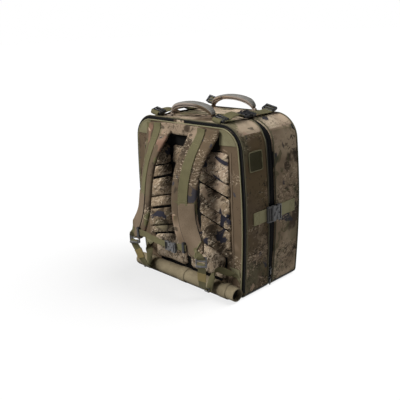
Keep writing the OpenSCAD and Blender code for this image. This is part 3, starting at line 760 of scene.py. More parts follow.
def plump(piece: Piece, voxel: float, cap: float, sewn: Callable[[Vector], bool]) -> None:
    """Fills a sewn pad by cloth simulation, and smooths what it leaves.

    Args:
        piece: The pad, which starts a little flat.
        voxel: Size of its mesh in millimetres.
        cap: Farthest that a point may move, in millimetres.
        sewn: Tells whether a point, in millimetres, is held by its seam.
    """
    pressure, last_frame = 4.0, 20
    remeshed(piece, voxel)
    rest = [v.co.copy() for v in piece.data.vertices]
    held = piece.vertex_groups.new(name="seam")
    held.add([v.index for v in piece.data.vertices if sewn(v.co / MM)], 1.0, "REPLACE")
    cloth = piece.modifiers.new("Cloth", "CLOTH")
    cloth.settings.use_pressure = True
    cloth.settings.uniform_pressure_force = pressure
    cloth.settings.vertex_group_mass = held.name
    cloth.settings.effector_weights.gravity = 0.0
    cloth.point_cache.frame_start, cloth.point_cache.frame_end = 1, last_frame
    for step in range(1, last_frame + 1):
        bpy.context.scene.frame_set(step)
    bpy.ops.object.modifier_apply(modifier=cloth.name)
    for vertex, start in zip(piece.data.vertices, rest):
        move = vertex.co - start
        if move.length > cap * MM:
            vertex.co = start + move * (cap * MM / move.length)
    piece.vertex_groups.clear()
    bpy.context.scene.frame_set(1)
    modify(piece, "SMOOTH", factor=0.5, iterations=2)
    modify(piece, "SUBSURF", levels=1, render_levels=1)


# Paths and sections


def smooth_path(points: Sequence[Sequence[float]], steps: int) -> list[np.ndarray]:
    """Gives points along a smooth curve through a row of points.

    Args:
        points: Rows of numbers, the first three of which are a place.
        steps: Points for each stretch.

    Returns:
        Rows of numbers along the curve.
    """
    rows = [np.array(p, float) for p in points]
    last = len(rows) - 1
    out = []
    for i in range(last):
        a, b, c, d = rows[max(i - 1, 0)], rows[i], rows[i + 1], rows[min(i + 2, last)]
        for k in range(steps):
            t = k / steps
            out.append((2 * b + (c - a) * t + (2 * a - 5 * b + 4 * c - d) * t ** 2
                        + (3 * b - a - 3 * c + d) * t ** 3) / 2)
    return out + [rows[last]]


@dataclass(frozen=True)
class Station:
    """A place along a strip: its middle, the way across it, the way off its face, its width and its run."""

    centre: Vector
    across: Vector
    up: Vector
    width: float
    run: float

    def point(self, across: float, up: float) -> Vector:
        """Gives a point of the strip's section."""
        return self.centre + self.across * across + self.up * up


def stations(route: Sequence[Sequence[float]], steps: int = 1) -> list[Station]:
    """Sets stations along a route.

    Args:
        route: Rows of x, y, z, width, turn of the strip about Z in degrees, and if wanted its tip upwards.
        steps: Stations for each stretch.

    Returns:
        The stations from the first point to the last.
    """
    rows = smooth_path(route, steps)
    centres = [Vector(row[:3]) for row in rows]
    made, run = [], 0.0
    for i, row in enumerate(rows):
        way = (centres[min(i + 1, len(rows) - 1)] - centres[max(i - 1, 0)]).normalized()
        turn, tip = radians(row[4]), radians(row[5] if len(row) > 5 else 0.0)
        lean = Vector((cos(turn) * cos(tip), sin(turn) * cos(tip), sin(tip)))
        across = (lean - way * way.dot(lean)).normalized()
        run += (centres[i] - centres[i - 1]).length if i else 0.0
        made.append(Station(centres[i], across, way.cross(across), row[3], run))
    return made


def straight(start: Vector, end: Vector, width: float, count: int = 12) -> list[Station]:
    """Gives a number of stations along a straight webbing."""
    return stations([(*start.lerp(end, k / count), width, 0) for k in range(count + 1)])


def facing_way(line: Sequence[Station], across: Triple, up: Triple) -> list[Station]:
    """Gives stations that all face the same way."""
    return [replace(s, across=Vector(across), up=Vector(up)) for s in line]


def between(line: Sequence[Station], place: float) -> Station:
    """Gives a station between two of a line.

    Args:
        line: The stations.
        place: Fractional number along them.

    Returns:
        The station at that place.
    """
    i = min(int(place), len(line) - 2)
    t = place - i
    a, b = line[i], line[i + 1]
    return Station(a.centre.lerp(b.centre, t), a.across.lerp(b.across, t), a.up.lerp(b.up, t),
                   a.width + (b.width - a.width) * t, a.run + (b.run - a.run) * t)


def flat_section(width: float, thick: float) -> Section:
    """Gives the section of a webbing: flat faces and soft edges.

    Args:
        width: Its width.
        thick: Its thickness.

    Returns:
        Points across and off the face.
    """
    half, up, edge = width / 2, thick / 2, min(0.7, thick / 2)
    face = [-half + edge, -half / 2, 0.0, half / 2, half - edge]
    return [(x, up) for x in face] + [(half, 0.0)] + [(x, -up) for x in reversed(face)] + [(-half, 0.0)]


def padded_section(width: float, thick: float, count: int = 28) -> Section:
    """Gives the section of a padded strap, in a number of points: flattish faces and round edges."""
    power = 2 / 3
    return [(width / 2 * copysign(abs(cos(a)) ** power, cos(a)),
             thick / 2 * copysign(abs(sin(a)) ** power, sin(a))) for a in around(count)]


def strip(name: str, line: Sequence[Station], section: Callable[[Station], Section],
          lift: float = 0.0) -> Piece:
    """Lofts a strip along stations.

    Args:
        name: Name of the piece.
        line: The stations.
        section: Gives the section at a station.
        lift: Distance of the section's middle off the line.

    Returns:
        The strip, with its own map of metres across and along it.
    """
    rings = [[s.point(q[0], q[1] + lift) for q in section(s)] for s in line]
    maps = [[(q[0], s.run) for q in section(s)] for s in line]
    return loft(name, rings, maps)


def tape(name: str, line: Sequence[Station], thick: float = WEB_T, width: float = 0.0,
         lift: float = 0.0) -> Piece:
    """Lofts a flat webbing along stations, as wide as they are unless a width is given."""
    return strip(name, line, lambda s: flat_section(width or s.width, thick), lift)


def thin_cord(name: str, points: Sequence[Vector], width: float, thick: float, turn: float) -> Piece:
    """Lofts a thin rounded strip through points, turned about Z by some degrees."""
    line = stations([(*p, width, turn) for p in points])
    return strip(name, line, lambda s: padded_section(width, thick, 8))


@dataclass(frozen=True)
class EdgePoint:
    """A point of the case's outline with its outward way and its run along the outline."""

    x: float
    z: float
    out_x: float
    out_z: float
    run: float

    def at(self, y: float, out: float) -> Vector:
        """Gives the point at a depth, moved outwards."""
        return Vector((self.x + self.out_x * out, y, self.z + self.out_z * out))


@dataclass(frozen=True)
class CaseOutline:
    """Outline of the case seen from the back: round corners, and sides that swell at mid height."""

    half_w: float = 228.0
    height: float = 530.0
    belly: float = 14.0
    top_r: float = 70.0
    bottom_r: float = 20.0
    floor: float = 9.2
    seam_turn: float = 35.0
    gap_open: float = 7.0
    flatness: float = 0.8

    @property
    def seam_z(self) -> float:
        """Height of the seam between the side panels and the top panel."""
        return self.height - self.top_r * (1 - sin(radians(self.seam_turn)))

    def swell(self, z: float) -> float:
        """How far a side stands out at a height."""
        return self.belly * sin(pi * z / self.height)

    def drawn_back(self, z: float) -> float:
        """How far the cloth draws back from the gap between the bags, least at the base and over the top."""
        rise = min(max((z - 15) / 200, 0.0), 1.0) ** 0.6
        return self.gap_open * rise * (1 - 0.75 * min(max((z - 490) / 36, 0.0), 1.0))

    def crease(self, x: float, z: float) -> float:
        """Gives how far a top corner is flattened to both sides of its seam.

        Args:
            x: Place along X.
            z: Height.

        Returns:
            Distance inwards.
        """
        rise, reach = z - self.height + self.top_r, abs(x) - self.swell(z) - self.half_w + self.top_r
        turn = degrees(atan2(rise, reach))
        if not 0 < turn < 90:
            return 0.0
        first, last = (0.0, self.seam_turn) if turn < self.seam_turn else (self.seam_turn, 90.0)
        half = radians(last - first) / 2
        fall = cos(half) / cos(radians(turn - first) - half)
        return self.flatness * self.top_r * (1 - fall)

    def right_half(self, inset: float) -> list[Pair]:
        """Gives the outline's right half.

        Args:
            inset: Distance inside the outline.

        Returns:
            Points from the bottom corner to the top corner.
        """
        half = self.half_w - inset
        low, high = max(self.bottom_r - inset, 2.0), max(self.top_r - inset, 2.0)
        corner_z, shoulder_z = inset + low, self.height - inset - high
        quarter = [pi / 2 * k / 24 for k in range(25)]
        points = [(half - low + low * sin(a), corner_z - low * cos(a)) for a in quarter]
        points += [(half, corner_z + (shoulder_z - corner_z) * k / 60) for k in range(1, 60)]
        points += [(half - high + high * cos(a), shoulder_z + high * sin(a)) for a in quarter]
        return [(x + self.swell(z), z) for x, z in points]

    def band(self, inset: float = 0.0, floor: float | None = None, count: int = 320) -> list[EdgePoint]:
        """Gives evenly spaced points up the right side, over the top and down the left side.

        Args:
            inset: Distance inside the outline.
            floor: Height of both ends, or None for the bags' own.
            count: Number of stretches.

        Returns:
            The points, with their outward ways.
        """
        right = self.right_half(inset)
        whole = np.array(right + [(-x, z) for x, z in reversed(right)])
        lengths = np.concatenate([[0], np.cumsum(np.hypot(*np.diff(whole, axis=0).T))])
        bottom = self.floor if floor is None else floor
        start = np.interp(bottom, [z for _, z in right], lengths[:len(right)])
        runs = np.linspace(start, lengths[-1] - start, count + 1)
        xs, zs = np.interp(runs, lengths, whole[:, 0]), np.interp(runs, lengths, whole[:, 1])
        dx, dz = np.gradient(xs), np.gradient(zs)
        size = np.hypot(dx, dz)
        return [EdgePoint(*row) for row in zip(xs, zs, dz / size, -dx / size, runs - start)]

    def ring(self, inset: float, y: float, floor: float | None = None, shrink: float = 1.0) -> Ring:
        """Gives a closed ring of the outline.

        Args:
            inset: Distance inside the outline.
            y: Its depth.
            floor: Height of its lower edge, or None for the bags' own.
            shrink: Share of its size that is left, about its middle.

        Returns:
            Points of the ring.
        """
        edge = [e.at(y, 0.0) for e in self.band(inset, floor, 120)]
        base = [edge[-1].lerp(edge[0], k / 28) for k in range(1, 28)]
        middle = Vector((0, y, self.height / 2))
        return [middle + (p - middle) * shrink for p in edge + base]


OUTLINE = CaseOutline()


def edge_strip(name: str, floor: float, inset: Pair, depth: Pair) -> Piece:
    """Makes a tape that follows the case's outline.

    Args:
        name: Name of the piece.
        floor: Height where it starts and ends.
        inset: Insets of its two edges or faces.
        depth: Depths along Y of its two faces or edges.

    Returns:
        The tape.
    """
    band = OUTLINE.band(0.0, floor, 220)
    corners = [(inset[0], depth[0]), (inset[1], depth[0]), (inset[1], depth[1]), (inset[0], depth[1])]
    rings = [[e.at(y, -i) for i, y in corners] for e in band]
    maps = [[(i + y, e.run) for i, y in corners] for e in band]
    return loft(name, rings, maps)


def edge_cord(name: str, band: Sequence[EdgePoint], out: Callable[[EdgePoint], float],
              y: Callable[[EdgePoint], float], radius: Callable[[int], float], sides: int = 8) -> Piece:
    """Makes a cord or a coil that follows the case's outline.

    Args:
        name: Name of the piece.
        band: Points of the outline.
        out: Gives how far the cord's middle stands out at a point.
        y: Gives the depth of the cord's middle at a point.
        radius: Gives the cord's radius at a point's number.
        sides: Faces around the cord.

    Returns:
        The cord.
    """
    turns = around(sides)
    rings = [[e.at(y(e) + radius(n) * sin(a), out(e) + radius(n) * cos(a)) for a in turns]
             for n, e in enumerate(band)]
    maps = [[(radius(n) * sin(a), e.run) for a in turns] for n, e in enumerate(band)]
    return loft(name, rings, maps)


def edge_panel(name: str, inset: float, back: float, face: float, floor: float | None = None,
               crown: float = 2.4, ripple: float = 1.0) -> Piece:
    """Makes a padded panel of the case's outline, flat behind and crowned on its face.

    Args:
        name: Name of the piece.
        inset: Distance of its edge inside the case's outline.
        back: Depth of its back.
        face: Depth of its face.
        floor: Height of its lower edge, or None for the bags' own.
        crown: Depth of the rounding along its edge.
        ripple: Height of the soft unevenness of its face.

    Returns:
        The panel.
    """
    way = copysign(1.0, face - back)
    rims = [(crown * 0.6, back), (0.0, back + way * abs(face - back) * 0.35),
            (0.0, face - way * crown * 0.6), (crown * 0.35, face - way * crown * 0.25), (crown, face)]
    rings = [OUTLINE.ring(inset + crown, back, floor, share) for share in (0.02, 0.5, 0.96)]
    rings += [OUTLINE.ring(inset + add, y, floor) for add, y in rims]
    for share in (0.97, 0.93, 0.86, 0.76, 0.64, 0.5, 0.35, 0.2, 0.02):
        ring = OUTLINE.ring(inset + crown, face, floor, share)
        rings.append([p - Vector((0, way * ripple * (0.5 + 0.5 * noise.noise(p / 60)), 0)) for p in ring])
    return loft(name, rings)


def bind_door(name: str, body: Body, inset: float, floor: float, y: float) -> None:
    """Makes the light binding along a door's edge.

    Args:
        name: Name of the piece.
        body: The door's body.
        inset: Distance of the door's edge inside the case's outline.
        floor: Height of the door's lower edge.
        y: Depth of the binding's middle.
    """
    radius, sink, above = 1.9, 0.4, 2.0
    band = OUTLINE.band(inset, floor + above)
    settle(edge_cord(name, band, lambda e: -sink, lambda e: y, lambda n: radius), body, BINDING)


def stitch_rows(name: str, rows: Sequence[StitchRow], body: Body) -> None:
    """Sews rows of single stitches and settles them as one piece.

    Args:
        name: Name of the piece.
        rows: For each row its points in millimetres and the way off the cloth.
        body: Body that carries them.
    """
    pitch, share, radius = 4.5, 0.72, 0.45
    model = added("stitch", bpy.ops.mesh.primitive_cylinder_add, vertices=6, radius=radius,
                  depth=pitch * share, end_fill_type="TRIFAN")
    corners = [v.co.copy() for v in model.data.vertices]
    faces = [list(p.vertices) for p in model.data.polygons]
    bpy.data.objects.remove(model)
    points: list[Vector] = []
    polygons: list[list[int]] = []
    for row, up in rows:
        for a, b in zip(row, row[1:]):
            way = (b - a).normalized()
            side = way.cross(up).normalized()
            turn = Matrix((side, side.cross(way) * -1, way)).transposed()
            for k in range(int((b - a).length / pitch)):
                middle = a + way * pitch * (k + 0.5)
                first = len(points)
                points += [(middle + turn @ c) * MM for c in corners]
                polygons += [[first + i for i in face] for face in faces]
    mesh = bpy.data.meshes.new(name)
    mesh.from_pydata(points, [], polygons)
    piece = bpy.data.objects.new(name, mesh)
    bpy.context.scene.collection.objects.link(piece)
    with editing(piece):
        bpy.ops.mesh.normals_make_consistent(inside=False)
    settle(piece, body, THREAD)


# The two bags


@dataclass(frozen=True)
class Bag:
    """One bag: a padded band in three panels, a base with taped edges, and an inner wall."""

    label: str
    body: Body
    # camo and top carry painted light and shade in their grounds: darker rear sides, lighter tops and front
    # bag
    camo: CamoCloth
    top: CamoCloth
    wall: float = 7.0
    edge_dip: float = 1.8
    seam_dip: float = 1.3
    slack: float = 1.6
    taut: float = 25.0
    row_pitch: float = 5.0
    tape_top: float = 14.5
    tape_out: float = 0.4
    tape_end: float = 3.0
    tape_t: float = 1.6
    stitch_sink: float = 0.9

    @property
    def depth(self) -> Pair:
        """Depths of the bag's two edges."""
        low, high = box_mm(f"{self.label}_gusset")
        return low.y, high.y

    def surface(self, e: EdgePoint, y: float, edge: float, seam: float) -> Vector:
        """Gives a point of the cloth, drawn in along its edge and seams and a little slack between them.

        Args:
            e: Point of the outline.
            y: Depth.
            edge: Distance from the nearer edge.
            seam: Distance from the nearer seam.

        Returns:
            The point.
        """
        dip = self.edge_dip * exp(-edge / 5) + self.seam_dip * exp(-seam / 4)
        free = min(1.0, edge / self.taut, seam / self.taut)
        broad, fine = noise.noise(Vector((e.x, y, e.z)) / 75), noise.noise(Vector((e.z, e.x, y)) / 28)
        soft = 0.5 + 0.5 * broad + 0.3 * fine
        flat = OUTLINE.crease(e.x, e.z) * min(1.0, edge / 18)
        return e.at(y, -dip - flat - self.slack * free * max(soft, 0.0))

    def panel(self, name: str, part: Sequence[EdgePoint], seams: Sequence[float], finish: Finish) -> None:
        """Makes one panel of the band: cloth outside, foam between, lining inside.

        Args:
            name: Name of the piece.
            part: Its stretch of the outline.
            seams: Runs of the sewn ends.
            finish: Finish of its outside.
        """
        y0, y1 = self.depth
        count = round((y1 - y0) / self.row_pitch)
        rows = []
        for e in part:
            back = OUTLINE.drawn_back(e.z)
            start, end = (y0, y1 - back) if self.body is Body.REAR else (y0 + back, y1)
            ys = [start + (end - start) * k / count for k in range(count + 1)]
            seam = min([abs(e.run - s) for s in seams])
            rows.append([self.surface(e, y, min(y - start, end - y), seam) for y in ys])
        middle = Vector((0, (y0 + y1) / 2, OUTLINE.height / 2))
        piece = cloth_sheet(name, rows, middle, self.wall, -1.0, (finish, DARK_LINING_AND_SHADE))
        settle(piece, self.body, (finish, DARK_LINING_AND_SHADE), f"{self.label}_gusset", fill=0.5)

    def build(self) -> None:
        """Makes the band's three panels, the base, the stitches and the tapes."""
        band = OUTLINE.band()
        right = next(k for k, e in enumerate(band) if e.z >= OUTLINE.seam_z)
        left = len(band) - 1 - right
        seams = [band[right].run, band[left].run]
        parts = {"right_side": band[:right + 1], "top": band[right:left + 1], "left_side": band[left:]}
        for part, points in parts.items():
            finish = self.top if part == "top" else self.camo
            self.panel(f"{self.label}_{part}", points, seams, finish)
        soften(f"{self.label}_base_cover", f"{self.label}_base_tray", self.body, RUBBER, 1.6, 3)
        self.sew([band[place + step] for place in (right, left) for step in (-2, 2)])
        self.base_tapes()
        dress_node(f"{self.label}_base_board", BOARD)

    def base_tapes(self) -> None:
        """Makes the black tape along the lower edge of both sides."""
        y0, y1 = self.depth
        middle = (y0 + y1) / 2
        edge = [e for e in OUTLINE.band(0.0, 1.0, 1200) if e.z < self.tape_top and e.x > 0]
        ends = (y0 + self.tape_end, middle, y1 - self.tape_end)
        rows = [[e.at(y, self.tape_out) for e in edge] for y in ends]
        right = cloth_sheet(f"{self.label}_base_tape_right", rows, Vector((0, middle, 200)), self.tape_t)
        for piece in (right, copy_at(right, f"{self.label}_base_tape_left", MIRROR)):
            settle(piece, self.body, RUBBER)

    def sew(self, places: Sequence[EdgePoint]) -> None:
        """Sews a row of stitches across the band at each place.

        Args:
            places: Points of the outline beside the side seams.
        """
        y0, y1 = self.depth
        ends = (y0 + 10, (y0 + y1) / 2, y1 - 14)
        rows = [([e.at(y, -self.stitch_sink) for y in ends], Vector((e.out_x, 0, e.out_z))) for e in places]
        stitch_rows(f"{self.label}_seam_stitches", rows, self.body)

    def wall_panel(self, node: str, name: str, outside: float, inside: float) -> None:
        """Makes the cloth wall that closes the bag at the gap, from its depth there to that in the bag."""
        piece = edge_panel(name, self.wall + 0.2, inside, outside, crown=1.5, ripple=0.6)
        # The wall takes the near-black lining: painted shade in the gap between the bags
        settle(piece, self.body, DARK_LINING_AND_SHADE, node, fill=0.4)


@dataclass(frozen=True)
class PipedEdge:
    """Corded piping along one edge of a bag, pressed flat where a bridging strap crosses it."""

    node: str
    body: Body
    crossed: bool = False
    radius: float = 1.9
    out: float = 0.3
    press: float = 3.2
    ease: float = 8.0
    strap_x: float = 145.0
    half_side: float = 27.0
    half_top: float = 22.0

    def stand(self, e: EdgePoint) -> float:
        """Gives how far the cord stands out.

        Args:
            e: Point of the edge.

        Returns:
            Distance of the cord's middle from the outline.
        """
        if not self.crossed:
            return self.out
        if e.z > OUTLINE.height - 2:
            gap = abs(abs(e.x) - self.strap_x) - self.half_top
        else:
            gap = abs(e.z - SIDE_STRAP_Z) - self.half_side
        return self.out - self.press * min(max(1 - gap / self.ease, 0.0), 1.0)

    def build(self) -> None:
        """Makes the cord."""
        low, high = box_mm(self.node)
        middle, way = (low.y + high.y) / 2, -1 if self.body is Body.REAR else 1
        cord = edge_cord(f"{self.node}_cord", OUTLINE.band(count=360), self.stand,
                         lambda e: middle + (way * OUTLINE.drawn_back(e.z) if self.crossed else 0.0),
                         lambda n: self.radius)
        settle(cord, self.body, PIPING, self.node)


@dataclass(frozen=True)
class ZipHalf:
    """One half of a zip: its tape and the coil along the tape's free edge."""

    node: str
    body: Body
    tape_inset: Pair
    tape_depth: Pair
    coil_out: float
    coil_y: float
    floor: float
    pitch: float = 1.7
    coil_r: float = 1.15
    waist: float = 0.72

    def build(self) -> None:
        """Makes the tape and the ribbed coil."""
        flat = edge_strip(f"{self.node}_cloth", self.floor, self.tape_inset, self.tape_depth)
        count = round(OUTLINE.band(0.0, self.floor, 40)[-1].run / self.pitch)
        coil = edge_cord(f"{self.node}_coil", OUTLINE.band(0.0, self.floor, count), lambda e: self.coil_out,
                         lambda e: self.coil_y, lambda n: self.coil_r * (self.waist if n % 2 else 1.0), 6)
        settle(joined(f"{self.node}_strip", [flat, coil]), self.body, ZIP, self.node, crease=60)


@dataclass(frozen=True)
class DoorZip:
    """Zip round a door's edge, half on the case and half on the door, with a cover over its ends."""

    label: str
    case_body: Body
    door_body: Body
    door_node: str
    case_node: str
    case_tape: Pair = (0.9, 6.9)
    door_tape: Pair = (8.1, 14.1)
    trim: Pair = (0.4, 3.2)
    coil_in: float = 1.1
    tape_t: float = 1.3
    trim_t: float = 1.9
    coil_rise: float = 1.6

    def build(self) -> None:
        """Makes both halves where the CAD tapes lie, the near-black trim beside them, which is painted
        shadow beside the piping, and the cover.
        """
        low, high = box_mm(self.case_node)
        way = -1.0 if low.y < 0 else 1.0
        plane = high.y if way < 0 else low.y
        faces, coil_y, floor = (plane, plane + way * self.tape_t), plane + way * self.coil_rise, low.z
        coils = self.coil_in - self.case_tape[1], -self.coil_in - self.door_tape[0]
        ZipHalf(self.case_node, self.case_body, self.case_tape, faces, coils[0], coil_y, floor).build()
        ZipHalf(self.door_node, self.door_body, self.door_tape, faces, coils[1], coil_y, floor).build()
        # The trim is near black: painted shadow beside the piping
        trim = edge_strip(f"{self.label}_zip_trim", floor, self.trim, (plane, plane + way * self.trim_t))
        settle(trim, self.case_body, DARK_LINING_AND_SHADE)
        cover = Cushion(oblong(-44, 2, 513, 528.5), plane + way * 3.0, -way * 2.4, 0.0)
        settle(cover.build(f"{self.label}_zip_garage"), self.door_body, LIT_TOP_CAMO)


@dataclass(frozen=True)
class JoiningZip:
    """Zip in the gap between the bags, with two sliders that each carry a pull."""

    sink: float = 5.0
    tape_t: float = 1.2
    coil_in: float = 1.2
    coil_sink: float = 0.6

    def build(self) -> None:
        """Makes the two halves, the sliders and the pulls."""
        inset = (self.sink, self.sink + self.tape_t)
        for node, body, way in (("mid_zip_rear_tape", Body.REAR, 1), ("mid_zip_front_tape", Body.FRONT, -1)):
            low, high = box_mm(node)
            root, tip = (low.y, high.y) if way > 0 else (high.y, low.y)
            root -= way * (OUTLINE.gap_open + 1)
            coil_y = tip - way * self.coil_in
            ZipHalf(node, body, inset, (root, coil_y), -self.sink - self.coil_sink, coil_y, low.z).build()
        for label, slider, pull in (("upper", Body.SLIDER_UPPER, Body.PULL_UPPER),
                                    ("lower", Body.SLIDER_LOWER, Body.PULL_LOWER)):
            soften(f"mid_slider_{label}", f"joining_slider_{label}", slider, ZIP_METAL, 0.35)
            soften(f"mid_pull_{label}", f"joining_pull_{label}", pull, ZIP_METAL, 0.4)


@dataclass(frozen=True)
class SidePatch:
    """Bare square patch on the right side, with an overlocked rim."""

    node: str = "side_patch"
    half: float = 30.0
    thick: float = 2.0
    rim: float = 3.0
    sharpness: float = 14

    def build(self) -> None:
        """Makes the patch where the CAD patch lies."""
        low, high = box_mm(self.node)
        middle = (low + high) / 2
        slope = OUTLINE.belly * pi / OUTLINE.height * cos(pi * middle.z / OUTLINE.height)
        half, thick, inner = self.half, self.thick, self.half - self.rim
        steps = [(half - 1, 0.0), (half, 0.8), (half - 0.6, thick), (half - 1.6, 2.4), (inner, thick),
                 (inner - 0.8, 1.3), (half * 0.5, 1.4), (0.5, 1.4)]
        reach = [(square_reach(a, self.sharpness), a) for a in around(48)]
        ways = [(r * cos(a), r * sin(a)) for r, a in reach]
        rings = [[Vector((up - thick / 2, size * u, size * v)) for u, v in ways] for size, up in steps]
        patch = loft("side_patch_cloth", rings)
        patch.data.transform(moved(*middle) @ Matrix.Rotation(atan(slope), 4, "Y"))
        for face in patch.data.polygons:
            off = face.center - middle * MM
            face.material_index = int(max(abs(off.y), abs(off.z)) < (inner - 0.4) * MM)
        settle(patch, Body.REAR, (PATCH_RIM, PATCH), self.node)


# Back panel


def oblong(left: float, right: float, low: float, high: float) -> Corners:
    """Gives the corners of an upright oblong, in turning order from its lower left."""
    return (left, low), (right, low), (right, high), (left, high)


def mirrored(corners: Corners) -> Corners:
    """Gives a pad's corners on the other side, still in turning order."""
    a, b, c, d = [(-x, z) for x, z in corners]
    return b, a, d, c


@dataclass(frozen=True)
class Cushion:
    """A sewn pad over four corners of the back panel: a crowned face, and sides drawn in between corners."""

    corners: Corners
    base: float
    rise: float
    draw: float = 0.03
    lean: float = 0.0
    domed: bool = False
    sharpness: float = 12

    def ring(self, share: float, lift: float) -> Ring:
        """Gives a ring of the pad.

        Args:
            share: Share of its outline.
            lift: Share of its rise.

        Returns:
            Points of the ring.
        """
        ring = []
        for a in around(44):
            r = square_reach(a, self.sharpness)
            r *= share * (1 - self.draw * cos(2 * a) ** 2)
            u, v = r * cos(a), r * sin(a)
            low = [self.corners[0][i] * (1 - u) + self.corners[1][i] * (1 + u) for i in (0, 1)]
            high = [self.corners[3][i] * (1 - u) + self.corners[2][i] * (1 + u) for i in (0, 1)]
            x, z = [(low[i] * (1 - v) + high[i] * (1 + v)) / 4 for i in (0, 1)]
            ring.append(Vector((x, self.base - self.rise * lift * (1 - self.lean * v), z)))
        return ring

    def build(self, name: str) -> Piece:
        """Makes the pad before it is filled.

        Args:
            name: Name of the piece.

        Returns:
            The pad.
        """
        steps = [(0.03, 0.0), (0.6, 0.0), (0.98, 0.0)]
        if self.domed:
            steps += [(1.0, 0.12), (0.97, 0.32), (0.9, 0.56), (0.78, 0.76), (0.6, 0.9), (0.35, 0.98)]
        else:
            steps += [(1.0, 0.3), (0.97, 0.62), (0.9, 0.84), (0.7, 0.96), (0.3, 1.0)]
        return loft(name, [self.ring(share, lift) for share, lift in steps + [(0.03, 1.0)]])


